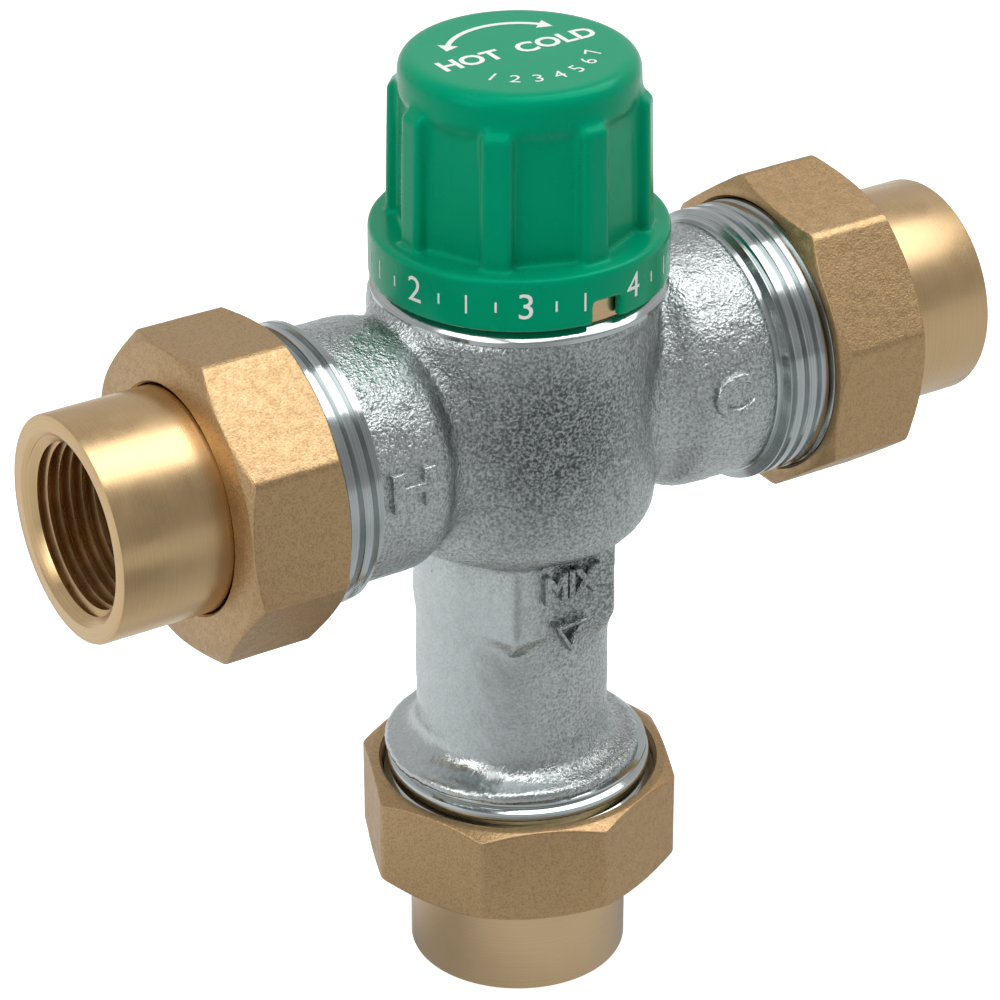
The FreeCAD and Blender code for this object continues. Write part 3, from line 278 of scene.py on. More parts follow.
@dataclass(frozen=True)
class TurnedMetal:
    """Metal turned on a lathe: fine tool lines round its axis and a soft sheen across them."""

    name: str
    colour: str
    shade_colour: str
    roughness: float
    axis: Axis
    line_mm: float = 0.22
    line_height_mm: float = 0.008
    blotch_mm: float = 6.0

    def material(self) -> Material:
        """Build the material."""
        made, add, spot = blank_material(self.name)
        split = add("SeparateXYZ", links={0: spot})
        across = [split.outputs[index] for index in range(3) if index != self.axis.value]
        if self.axis is Axis.X:
            across[1] = add("Math", {"operation": "SUBTRACT", 1: PORT_HEIGHT}, {0: across[1]})
        flat = add("CombineXYZ", links={0: across[0], 1: across[1]})
        radius = add("VectorMath", {"operation": "LENGTH"}, {0: flat})
        # radius and place along the axis together give lines on sides and on faces
        tool = add("CombineXYZ", links={0: split.outputs[self.axis.value], 1: radius.outputs["Value"]})
        lines = add("TexNoise", {"Scale": 1 / (self.line_mm * MM), "Detail": 2.0, "Roughness": 0.6},
                    {"Vector": tool})
        bump = add("Bump", {"Strength": 1.0, "Distance": self.line_height_mm * MM}, {"Height": lines})
        blotch = add("TexNoise", {"Scale": 1 / (self.blotch_mm * MM), "Detail": 3.0}, {"Vector": spot})
        mixed = add("Math", {"operation": "MULTIPLY_ADD", 1: 0.5}, {0: blotch, 2: lines})
        share = add("MapRange", {"From Min": 0.55, "From Max": 0.95}, {"Value": mixed})
        colour = add("Mix", {"data_type": "RGBA", 6: linear(self.shade_colour), 7: linear(self.colour)},
                     {0: share})
        roughness = (self.roughness - 0.05, self.roughness + 0.08)
        return close_material(made, colour, blotch, roughness, bump, METAL)


@dataclass(frozen=True)
class CastBrass:
    """Cast brass, shot-blasted all over: an even satin of fine bright dents."""

    colour: str = "C2A379"
    hollow_colour: str = "B0916A"
    roughness: float = 0.43
    grain_mm: float = 0.33
    grain_height_mm: float = 0.052
    wave_mm: float = 1.3

    def material(self) -> Material:
        """Build the material."""
        made, add, spot = blank_material("shot_blasted_cast_brass")
        grain = add("TexNoise", {"Scale": 1 / (self.grain_mm * MM), "Detail": 1.5}, {"Vector": spot})
        waves = add("TexNoise", {"Scale": 1 / (self.wave_mm * MM), "Detail": 2.0}, {"Vector": spot})
        height = add("Math", {"operation": "MULTIPLY_ADD", 1: 0.9}, {0: waves, 2: grain})
        bump = add("Bump", {"Strength": 1.0, "Distance": self.grain_height_mm * MM}, {"Height": height})
        hollow = add("MapRange", {"From Min": 0.32, "From Max": 0.55, "To Min": 1.0, "To Max": 0.0},
                     {"Value": grain})
        colour = add("Mix", {"data_type": "RGBA", 6: linear(self.colour), 7: linear(self.hollow_colour)},
                     {0: hollow})
        roughness = (self.roughness - 0.06, self.roughness + 0.08)
        return close_material(made, colour, waves, roughness, bump, METAL)


@dataclass(frozen=True)
class MouldedPlastic:
    """Injection-moulded plastic or rubber: even colour, a very fine moulded skin and faint flow marks."""

    name: str
    colour: str
    deep_colour: str
    roughness: float
    skin_mm: float = 0.35
    skin_height_mm: float = 0.006
    flow_mm: float = 9.0
    index: float = 1.49
    tint: str = "FFFFFF"

    def material(self) -> Material:
        """Build the material."""
        made, add, spot = blank_material(self.name)
        skin = add("TexNoise", {"Scale": 1 / (self.skin_mm * MM), "Detail": 2.0}, {"Vector": spot})
        flow = add("TexNoise", {"Scale": 1 / (self.flow_mm * MM), "Detail": 2.0, "Distortion": 0.6},
                   {"Vector": spot})
        bump = add("Bump", {"Strength": 1.0, "Distance": self.skin_height_mm * MM}, {"Height": skin})
        colour = add("Mix", {"data_type": "RGBA", 6: linear(self.colour), 7: linear(self.deep_colour)},
                     {0: flow})
        roughness = (self.roughness - 0.04, self.roughness + 0.05)
        return close_material(made, colour, flow, roughness, bump,
                              {"IOR": self.index, "Specular Tint": linear(self.tint)})


@dataclass
class Finishes:
    """Every material of the valve, made once."""

    def __post_init__(self) -> None:
        """Build the materials."""
        self.casting = PlatedCasting().material()
        self.plated_x = TurnedMetal("plated_turned_ends", "C4CACA", "A4AAAA", 0.14, Axis.X).material()
        self.plated_z = TurnedMetal("plated_turned_rings", "CCD2D2", "B8BEBE", 0.1, Axis.Z, 0.3,
                                    0.003).material()
        self.nut = CastBrass().material()
        self.nut_turned_x = TurnedMetal("turned_nut_faces", "CBAE85", "B2946A", 0.34, Axis.X).material()
        self.nut_turned_z = TurnedMetal("turned_outlet_nut_faces", "CBAE85", "B2946A", 0.34,
                                        Axis.Z).material()
        self.brass_x = TurnedMetal("turned_brass_inlets", "DABB8F", "CCAC7E", 0.28, Axis.X).material()
        self.brass_z = TurnedMetal("turned_brass_upright", "DABD94", "CEB088", 0.28, Axis.Z).material()
        self.steel = TurnedMetal("drawn_stainless_steel", "BFC1BF", "9FA2A0", 0.26, Axis.Z).material()
        self.copper = TurnedMetal("drawn_copper", "C98A63", "A96A46", 0.30, Axis.Z).material()
        self.green = MouldedPlastic("moulded_green_abs", "00926A", "008B65", 0.24, tint="1AD29A").material()
        self.print = MouldedPlastic("white_pad_print", "E9EDE9", "DDE2DD", 0.45).material()
        self.rubber = MouldedPlastic("black_epdm_rubber", "16181A", "1D1F20", 0.55).material()
        self.fibre = MouldedPlastic("red_union_fibre", "6E2D26", "5A241F", 0.75, 0.3, 0.04).material()
        self.acetal = MouldedPlastic("white_acetal", "E8E8E2", "DEDED6", 0.38).material()
        self.polymer = MouldedPlastic("black_glass_filled_polymer", "1F2123", "2A2C2E", 0.5, 0.3,
                                      0.02).material()


# ------------------------------------------------------------------ mesh tools
def mesh_object(name: str, mesh: bpy.types.ID) -> Object:
    """Link a mesh or a curve to the scene as a new object.

    Args:
        name: Object name.
        mesh: Mesh or curve that it shows.

    Returns:
        The new object.
    """
    made = bpy.data.objects.new(name, mesh)
    bpy.context.scene.collection.objects.link(made)
    return made


def drop(*objects: Object) -> None:
    """Remove helper objects from the file."""
    for item in objects:
        bpy.data.objects.remove(item)


@contextmanager
def editing(mesh: Mesh) -> Iterator[bmesh.types.BMesh]:
    """Open a mesh for editing, and write it back at the end."""
    shape = bmesh.new()
    shape.from_mesh(mesh)
    yield shape
    shape.to_mesh(mesh)
    shape.free()


def from_arrays(name: str, points: np.ndarray, faces: Sequence[Sequence[int]]) -> Object:
    """Make an object from points and faces, with its normals turned outwards.

    Args:
        name: Object name.
        points: Point coordinates in metres, one row each.
        faces: Point numbers of each face.

    Returns:
        The new object.
    """
    mesh = bpy.data.meshes.new(name)
    mesh.from_pydata([tuple(point) for point in points], [], [tuple(face) for face in faces])
    with editing(mesh) as shape:
        bmesh.ops.recalc_face_normals(shape, faces=shape.faces)
        if shape.calc_volume(signed=True) < 0:
            bmesh.ops.reverse_faces(shape, faces=shape.faces)
    mesh.update()
    return mesh_object(name, mesh)


def rectangle(name: str, half_x: float, half_y: float) -> Object:
    """Flat rectangle about the origin, by its half sizes in metres."""
    corners = np.array([(-1, -1, 0), (1, -1, 0), (1, 1, 0), (-1, 1, 0)])
    return from_arrays(name, corners * (half_x, half_y, 0), [(0, 1, 2, 3)])


def ring_faces(rows: int, width: int, closed: bool) -> list[tuple[int, ...]]:
    """Faces between rows of points that each run round in a ring.

    Args:
        rows: Number of rows.
        width: Points in a row.
        closed: Whether the last row joins the first. If not, a face closes each end.

    Returns:
        Point numbers of each face.
    """
    faces = []
    for low in range(rows if closed else rows - 1):
        high = (low + 1) % rows
        for side in range(width):
            ahead = (side + 1) % width
            faces.append((low * width + side, low * width + ahead, high * width + ahead, high * width + side))
    if not closed:
        faces += [tuple(range(width))[::-1], tuple(range((rows - 1) * width, rows * width))]
    return faces


def lathe(name: str, outline: Sequence[tuple[float, float]], segments: int) -> Object:
    """Turn a closed outline of (radius, height) in millimetres about +Z.

    Args:
        name: Object name.
        outline: Corners of the section; radius 0 lies on the axis.
        segments: Steps round the axis.

    Returns:
        A closed mesh object.
    """
    angles = np.arange(segments) * 2 * math.pi / segments
    points: list[tuple[float, float, float]] = []
    rings: list[list[int]] = []
    for radius, height in outline:
        if radius <= 0:
            rings.append([len(points)] * segments)
            points.append((0.0, 0.0, height * MM))
        else:
            rings.append(list(range(len(points), len(points) + segments)))
            points.extend((radius * MM * math.cos(a), radius * MM * math.sin(a), height * MM) for a in angles)
    faces = []
    for index, low in enumerate(rings):
        high = rings[(index + 1) % len(rings)]
        for step in range(segments):
            ahead = (step + 1) % segments
            corner = list(dict.fromkeys([low[step], low[ahead], high[ahead], high[step]]))
            if len(corner) > 2:
                faces.append(corner)
    return from_arrays(name, np.array(points), faces)


def cylinder(name: str, radius: float, low: float, high: float, segments: int) -> Object:
    """Solid cylinder about +Z between two heights, in millimetres."""
    return lathe(name, [(0, low), (radius, low), (radius, high), (0, high)], segments)


def helix_ridge(name: str, pitch: float, low: float, turns: float,
                section: Callable[[float], list]) -> Object:
    """Sweep a section along a right-hand helix about +Z, closed at both ends.

    Args:
        name: Object name.
        pitch: Rise for each turn, in millimetres.
        low: Height of the start, in millimetres.
        turns: Number of turns.
        section: Gives (radius, height offset) corners in millimetres for a share of the way, 0 to 1.

    Returns:
        A closed mesh object.
    """
    steps = round(turns * HELIX_STEPS)
    points = []
    for step in range(steps + 1):
        angle = 2 * math.pi * step / HELIX_STEPS
        base = low + pitch * step / HELIX_STEPS
        for radius, offset in section(step / steps):
            radius *= MM
            points.append((radius * math.cos(angle), radius * math.sin(angle), (base + offset) * MM))
    return from_arrays(name, np.array(points), ring_faces(steps + 1, len(section(0.0)), closed=False))


def evaluated(item: Object) -> Mesh:
    """Return the object's mesh with its modifiers applied."""
    bpy.context.view_layer.update()
    graph = bpy.context.evaluated_depsgraph_get()
    return bpy.data.meshes.new_from_object(item.evaluated_get(graph), depsgraph=graph)


def settle(item: Object) -> Object:
    """Apply all modifiers of an object to its mesh.

    Args:
        item: Object to settle.

    Returns:
        The same object.
    """
    mesh = evaluated(item)
    item.modifiers.clear()
    old = item.data
    item.data = mesh
    bpy.data.meshes.remove(old)
    return item


def letters(text: str, size: float, steps: int, settings: Optional[dict] = None) -> Object:
    """Letters as a mesh on the XY plane, centred on the origin and reading along +X.

    Args:
        text: What they say.
        size: Height of a capital, in millimetres.
        steps: Steps in each curve of a letter.
        settings: Further settings of the text curve.

    Returns:
        The mesh object.
    """
    curve = bpy.data.curves.new("letters", "FONT")
    curve.body = text
    curve.size = size * MM * EM
    curve.align_x = "CENTER"
    curve.align_y = "CENTER"
    curve.resolution_u = steps
    for name, value in (settings or {}).items():
        setattr(curve, name, value)
    typed = mesh_object("typed", curve)
    mesh = evaluated(typed)
    drop(typed)
    return mesh_object("letters_" + text, mesh)


def combine(base: Object, tool: Object, cut: Cut, keep_tool: bool = False) -> Object:
    """Combine two closed meshes, leaving the result in the first.

    Args:
        base: Object that takes the result.
        tool: Second object.
        cut: How they combine.
        keep_tool: Whether the second object stays in the file.

    Returns:
        The first object.
    """
    modifier = base.modifiers.new("combine", "BOOLEAN")
    modifier.operation = cut.value
    modifier.solver = "MANIFOLD"
    modifier.object = tool
    settle(base)
    if not keep_tool:
        drop(tool)
    return base


def merged_copy(name: str, node: str) -> Object:
    """Copy a solid's loose triangles into one closed mesh.

    Args:
        name: Name of the copy.
        node: Name of the solid.

    Returns:
        The copy, at the origin.
    """
    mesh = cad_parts[node].data.copy()
    with editing(mesh) as shape:
        bmesh.ops.remove_doubles(shape, verts=shape.verts, dist=2e-7)
    mesh.materials.clear()
    return mesh_object(name, mesh)


def joined(name: str, parts: Sequence[Object]) -> Object:
    """Put several meshes, with their materials, into one object.

    Args:
        name: Name of the result.
        parts: Objects to join, which are removed.

    Returns:
        The new object.
    """
    shape = bmesh.new()
    materials: list[Material] = []
    for part in parts:
        slots = []
        for material in part.data.materials:
            if material not in materials:
                materials.append(material)
            slots.append(materials.index(material))
        start = len(shape.faces)
        part.data.transform(part.matrix_world)
        shape.from_mesh(part.data)
        shape.faces.ensure_lookup_table()
        for face in shape.faces[start:]:
            face.material_index = slots[min(face.material_index, len(slots) - 1)] if slots else 0
    mesh = bpy.data.meshes.new(name)
    shape.to_mesh(mesh)
    shape.free()
    for material in materials:
        mesh.materials.append(material)
    drop(*parts)
    return mesh_object(name, mesh)


def placed(item: Object, matrix: Matrix) -> Object:
    """Move an object's mesh by a matrix and leave the object at the origin.

    Args:
        item: Object to move.
        matrix: Where its mesh goes.

    Returns:
        The same object.
    """
    item.data.transform(matrix)
    item.data.update()
    return item


def shade(item: Object, crease_degrees: float) -> Object:
    """Shade smooth, with sharp edges kept crisp.

    Args:
        item: Object to shade.
        crease_degrees: Angle between faces from which an edge stays crisp.

    Returns:
        The same object.
    """
    mesh = item.data
    mesh.shade_smooth()
    limit = math.radians(crease_degrees)
    with editing(mesh) as shape:
        for edge in shape.edges:
            edge.smooth = len(edge.link_faces) == 2 and edge.calc_face_angle(0) < limit
    return item


def paint(item: Object, materials: Sequence[Material],
          choose: Callable[[Vector, Vector], int]) -> Object:
    """Give each face a material by its place.

    Args:
        item: Object to paint.
        materials: Materials to choose from.
        choose: Gives the number of a material for a face's centre and normal.

    Returns:
        The same object.
    """
    mesh = item.data
    mesh.materials.clear()
    for material in materials:
        mesh.materials.append(material)
    for face in mesh.polygons:
        face.material_index = choose(face.center, face.normal)
    return item


def paint_all(item: Object, material: Material) -> Object:
    """Give every face of an object one material."""
    return paint(item, [material], lambda centre, normal: 0)


def roughened(item: Object, layers: Sequence[tuple[float, float]],
              share: Callable[[Vector], float]) -> Object:
    """Push points along their normals by smooth noise.

    Args:
        item: Object to change.
        layers: Size and height of each layer of noise, in millimetres.
        share: Gives how much of it applies at a point, 0 to 1.

    Returns:
        The same object.
    """
    mesh = item.data
    normals = [vertex.normal.copy() for vertex in mesh.vertices]
    for vertex, normal in zip(mesh.vertices, normals):
        amount = share(vertex.co)
        if amount > 0:
            push = sum(height * noise.noise(vertex.co / (size * MM)) for size, height in layers)
            vertex.co += normal * push * MM * amount
    mesh.update()
    return item


def softened(item: Object, passes: int,
             share: Optional[Callable[[Vector], float]] = None) -> Object:
    """Relax a mesh, everywhere or by a share for each point.

    Args:
        item: Object to change.
        passes: Number of smoothing passes.
        share: Gives how much of it applies at a point, 0 to 1.

    Returns:
        The same object.
    """
    smooth = item.modifiers.new("soften", "SMOOTH")
    smooth.factor = 0.5
    smooth.iterations = passes
    if share:
        group = item.vertex_groups.new(name="soft")
        for vertex in item.data.vertices:
            weight = share(vertex.co)
            if weight > 0:
                group.add([vertex.index], min(weight, 1.0), "REPLACE")
        smooth.vertex_group = group.name
    settle(item)
    item.vertex_groups.clear()
    return item


def remeshed(item: Object, voxel: float, smoothing: int) -> Object:
    """Rebuild a closed mesh at one size of face and soften its edges.

    Args:
        item: Object to change.
        voxel: Size of a face, in millimetres.
        smoothing: Number of smoothing passes.

    Returns:
        The same object.
    """
    remesh = item.modifiers.new("remesh", "REMESH")
    remesh.mode = "VOXEL"
    remesh.voxel_size = voxel * MM
    settle(item)
    return softened(item, smoothing)


# ------------------------------------------------------------------ the casting
@dataclass
class Casting:
    """The plated valve body: rough cast skin, raised marks and turned ends, bored as the solid is."""

    finishes: Finishes
    shift: float = -1.15
    arm_end: float = 35.5
    leads: tuple[float, float] = (2.2, 1.8)
    face: float = 48.5
    ring_low: float = 19.0
    ring_top: float = 20.3
    ring_radius: float = 21.6
    lip_top: float = 20.85
    lip_bore: float = 20.1
    foot_low: float = 35.2
    cast_top: float = 112.2
    neck: float = 19.3
    thread_radius: float = 20.65
    thread_pitch: float = 2.209
    thread_depth: float = 0.75
    column_bore: float = 13.2
    barrel_bore: float = 19.5
    arm_bore: float = 15.2
    first_voxel: float = 0.6
    voxel: float = 0.52
    skin_waves: tuple[tuple[float, float], ...] = ((5.0, 0.12), (1.5, 0.07), (0.8, 0.05))

    def plug(self) -> Object:
        """Solid that fills every bore and stands out of every mouth, inside the outer skin."""
        column = cylinder("plug_column", self.column_bore, 15, AXIS_MM, 64)
        combine(column, cylinder("plug_top", self.barrel_bore, 76, 125, 64), Cut.UNION)
        side = cylinder("plug_side", self.arm_bore, -60, 60, 64)
        return combine(column, placed(side, moved(0, 0, AXIS_MM) @ turned(90, "Y")), Cut.UNION)

    def cavity(self) -> Object:
        """The water ways and bores as one solid."""
        return combine(self.plug(), merged_copy("body_copy", "valve_body"), Cut.DIFFERENCE)

    def cast_region(self) -> Object:
        """Solid that covers only what was left as cast."""
        hot, cold = (self.arm_end + 1.0 - lead for lead in self.leads)
        arms = cylinder("cast_arms", 24, -hot, cold, 32)
        placed(arms, moved(self.shift, 0, AXIS_MM) @ turned(90, "Y"))
        return combine(arms, cylinder("cast_upright", 26, self.foot_low, self.cast_top, 32), Cut.UNION)

    def raised_mark(self, text: str, size: float, place: Matrix, wide: float) -> Object:
        """Cast letters with round edges, on the XY plane before they are placed.

        Args:
            text: Letters to raise.
            size: Letter height in millimetres.
            place: Where they go.
            wide: Stretch along the line.

        Returns:
            The placed mesh object.
        """
        bevel = {"extrude": 0.45 * MM, "offset": -0.1 * MM, "bevel_depth": 0.45 * MM, "bevel_resolution": 3}
        return placed(letters(text, size, 4, bevel), place @ Matrix.Diagonal((wide, 1, 1, 1)))

    def marks(self) -> list[Object]:
        """The port letters and the flow arrow, standing a little out of the skin."""
        front = turned(90, "X")
        hot = moved(-29.4, -18.85, AXIS_MM + 2.0) @ turned(-6, "X") @ front
        cold = moved(24.9, -18.9, AXIS_MM + 1.6) @ turned(-5, "X") @ front
        mix = moved(-0.9, -15.1, AXIS_MM - 23.4) @ front
        arrow = lathe("arrow", [(1.7, -0.9), (3.4, -0.9), (3.4, 0.5), (3.0, 0.9), (2.1, 0.9), (1.7, 0.5)], 3)
        placed(arrow, moved(-0.9, -15.05, AXIS_MM - 31.2) @ front @ turned(-90, "Z"))
        return [self.raised_mark("H", 5.4, hot, 1.45), self.raised_mark("C", 6.4, cold, 1.1),
                self.raised_mark("MIX", 4.2, mix, 0.9), arrow]

    def flank(self) -> Object:
        """Wedge that runs the pad's sides smoothly into the round column."""
        # height, half width and reach of the pad, then half width and reach of the wedge
        levels = ((58.9, 7.0, 12.2, 12.4, 6.2), (61.6, 8.55, 14.85, 13.2, 6.6),
                  (77.0, 8.55, 14.85, 13.2, 6.6))
        points = []
        for height, pad, pad_reach, side, side_reach in levels:
            for along, across in ((0, 4), (-side, -side_reach), (-pad, -pad_reach), (pad, -pad_reach),
                                  (side, -side_reach)):
                points.append(((along + self.shift) * MM, across * MM, height * MM))
        return from_arrays("flank", np.array(points), ring_faces(3, 5, closed=False))

    def skin(self) -> Object:
        """The rough cast skin, solid inside."""
        outside = combine(merged_copy("skin", "valve_body"), self.plug(), Cut.UNION)
        combine(outside, self.flank(), Cut.UNION)
        combine(outside, self.cast_region(), Cut.INTERSECT)
        remeshed(outside, self.first_voxel, 2)
        softened(outside, 34, self.valley)
        return roughened(remeshed(outside, self.voxel, 2), self.skin_waves, lambda point: 1.0)

    def valley(self, point: Vector) -> float:
        """Share of extra rounding where the arms run into the barrel.

        Args:
            point: Place on the skin, in metres.

        Returns:
            Share from 0 to 1.
        """
        along = abs(point.x / MM - self.shift)
        rise = abs(point.z - PORT_HEIGHT) / MM
        return clamped((27.5 - along) / 3) * clamped((along - 8) / 4) * clamped((21.5 - rise) / 1.5)

    def ring(self) -> Object:
        """Turned ring of the neck, with the thin lip that stands on it."""
        outline = [(0, 16.0), (19.0, 16.0), (19.0, self.ring_low), (self.ring_radius - 0.1, self.ring_low),
                   (self.ring_radius, self.ring_low + 0.1), (self.ring_radius, self.ring_top - 0.55),
                   (self.ring_radius - 0.15, self.ring_top - 0.35),
                   (self.lip_bore + 0.3, self.lip_top - 0.12), (self.lip_bore + 0.12, self.lip_top),
                   (self.lip_bore, self.lip_top), (self.lip_bore, self.ring_top), (0, self.ring_top)]
        return lathe("ring", [(radius, AXIS_MM + rise) for radius, rise in outline], 192)

    def foot(self) -> Object:
        """Outlet rim with its thread, and the turned beads over it."""
        rim = [(0, 25.3), (self.neck, 25.3), (self.thread_radius, 26.4), (self.thread_radius, 30.2)]
        beads = [(19.6, 31.0), (19.6, 32.35), (19.85, 32.5), (20.0, 32.75), (20.0, 33.3), (19.85, 33.75),
                 (19.3, 34.15), (19.1, 34.3), (19.1, 34.45), (19.4, 34.6), (19.52, 34.85), (19.5, 35.2),
                 (18.9, 35.5), (0, 35.5)]
        foot = lathe("foot", rim + beads, 192)
        return combine(foot, self.thread_cutter(24.6, 3.2), Cut.DIFFERENCE)

    def inlet_end(self, side: int, lead: float) -> Object:
        """Threaded end of an arm.

        Args:
            side: -1 for the hot side, 1 for the cold side.
            lead: How far the turning runs in beyond the arm's nominal end, in millimetres.

        Returns:
            The end in its place.
        """
        low = self.arm_end + side * self.shift - lead
        end = lathe("inlet_end", [(0, low - 1.5), (17.5, low - 1.5), (17.5, low), (self.neck, low),
                                  (self.neck, low + 0.9), (self.thread_radius, low + 1.5),
                                  (self.thread_radius, self.face - 1.1), (self.neck, self.face),
                                  (0, self.face)], 192)
        combine(end, self.thread_cutter(low + 0.55, (self.face - low) / self.thread_pitch), Cut.DIFFERENCE)
        return placed(end, moved(0, 0, AXIS_MM) @ turned(90 * side, "Y"))

    def thread_cutter(self, low: float, turns: float) -> Object:
        """Groove of the union thread, cut from outside.

        Args:
            low: Height of the groove's start, in millimetres.
            turns: Number of turns.

        Returns:
            Closed mesh that cuts the groove.
        """
        root = self.thread_radius - self.thread_depth
        outer = self.thread_radius + 0.12
        narrow = 0.13
        wide = narrow + (outer - root) * math.tan(math.radians(30))
        section = [(root, -narrow), (root, narrow), (outer, wide), (outer, -wide)]
        return helix_ridge("thread_cutter", self.thread_pitch, low, turns, lambda share: section)

    def build(self) -> Object:
        """Build and dress the casting, and hide the plain solid."""
        cavity = self.cavity()
        skin = combine(self.skin(), cavity, Cut.DIFFERENCE, keep_tool=True)
        cast = [shade(skin, 75)] + [shade(mark, 50) for mark in self.marks()]
        upright = [self.ring(), self.foot()]
        inlets = [self.inlet_end(side, lead) for side, lead in zip((-1, 1), self.leads)]
        for part in upright + inlets:
            shade(combine(part, cavity, Cut.DIFFERENCE, keep_tool=True), 25)
        drop(cavity)
        for parts, material in ((cast, self.finishes.casting), (upright, self.finishes.plated_z),
                                (inlets, self.finishes.plated_x)):
            for part in parts:
                paint_all(part, material)
        body = joined("plated_valve_body", cast + upright + inlets)
        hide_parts("valve_body")
        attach(body, "casting_group")
        return body


# ------------------------------------------------------------------ union sets
@dataclass
class UnionNut:
    """Octagon nut, sand-cast with turned ends and soft cast corners."""

    finishes: Finishes
    port: Port
    turn_degrees: float
    across: float = 45.2
    tail_end: float = 16.8
    length: float = 15.4
    slope_end: float = 1.35
    slope_degrees: float = 60.0
    face_inset: float = 0.2
    tail_bore: float = 16.8
    thread_bore: float = 20.75
    wall: float = 3.4
    corner_soft: float = 0.72
    corner_drop: float = 0.189
    edge_soft: float = 0.16
    per_side: int = 30

    def radius(self, angle: float, height: float) -> float:
        """Outer radius in millimetres at an angle and a height, with softened corners.

        Args:
            angle: Angle round the axis, in radians.
            height: Height over the port's mouth, in millimetres.

        Returns:
            Radius of the surface.
        """
        half = self.across / 2
        quarter = math.pi / 4
        offset = (angle + quarter / 2) % quarter - quarter / 2
        edge = abs(abs(offset) - quarter / 2) * half
        flat = half / math.cos(offset) - max(0.0, 1 - edge / self.corner_soft) ** 2 * self.corner_drop
        inside = min(height - self.tail_end, self.tail_end + self.length - height)
        cone = half - self.face_inset + inside * math.tan(math.radians(self.slope_degrees))
        blend = max(0.0, 1 - abs(flat - cone) / self.edge_soft)
        return min(flat, cone) - blend * blend * self.edge_soft * 0.25

    def heights(self) -> list[float]:
        """Rows of the outer surface, close together where the ends slope."""
        ends = np.linspace(0.0, self.slope_end, 14)
        middle = np.linspace(self.slope_end, self.length - self.slope_end, 22)[1:-1]
        rows = list(ends) + list(middle) + list(self.length - ends[::-1])
        return [self.tail_end + row for row in rows]

    def angles(self) -> list[float]:
        """Columns round the nut from the first flat's edge, clustered at the corners."""
        shares = [step / self.per_side for step in range(self.per_side)]
        spaced = [share - math.sin(2 * math.pi * share) * 0.12 for share in shares]
        return [math.pi / 4 * (side + share - 0.5) for side in range(8) for share in spaced]

    def shell(self) -> Object:
        """The nut's closed mesh on its own axis."""
        turn = math.radians(self.turn_degrees)
        top, floor = self.tail_end + self.length, self.tail_end + self.wall
        bore = ((self.thread_bore + 0.45, top), (self.thread_bore, top - 0.55), (self.thread_bore, floor),
                (self.tail_bore, floor), (self.tail_bore, self.tail_end + 0.3),
                (self.tail_bore + 0.3, self.tail_end))
        angles = self.angles()
        rows = [([self.radius(angle, height) for angle in angles], height) for height in self.heights()]
        rows += [([radius] * len(angles), height) for radius, height in bore]
        points = [(radius * math.cos(turn + angle) * MM, radius * math.sin(turn + angle) * MM, height * MM)
                  for radii, height in rows for radius, angle in zip(radii, angles)]
        return from_arrays(self.port.value + "_nut_dressed", np.array(points),
                           ring_faces(len(rows), len(angles), closed=True))

    def build(self) -> Object:
        """Build the nut's mesh, dress it and hide the plain solid."""

        def on_flats(point: Vector) -> float:
            """Share of cast roughness at a point."""
            rise = point.z / MM - self.tail_end
            reach = math.hypot(point.x, point.y) / MM
            return 1.0 if reach > self.across / 2 - 0.05 and 0.5 < rise < self.length - 0.5 else 0.0

        def in_bore(centre: Vector, normal: Vector) -> int:
            """One in the turned bores, zero where the nut is blasted."""
            outwards = Vector((centre.x, centre.y, 0))
            return int(outwards.length < (self.thread_bore + 0.5) * MM and outwards.dot(normal) < 0)

        nut = roughened(self.shell(), ((9.0, 0.06), (1.8, 0.02)), on_flats)
        upright = self.port is Port.OUTLET
        paint(nut, [self.finishes.nut, self.finishes.nut_turned_z if upright else self.finishes.nut_turned_x],
              in_bore)
        shade(nut, 34)
        placed(nut, self.port.placement())
        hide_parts(self.port.value + "_union_nut")
        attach(nut, "casting_group")
        return nut


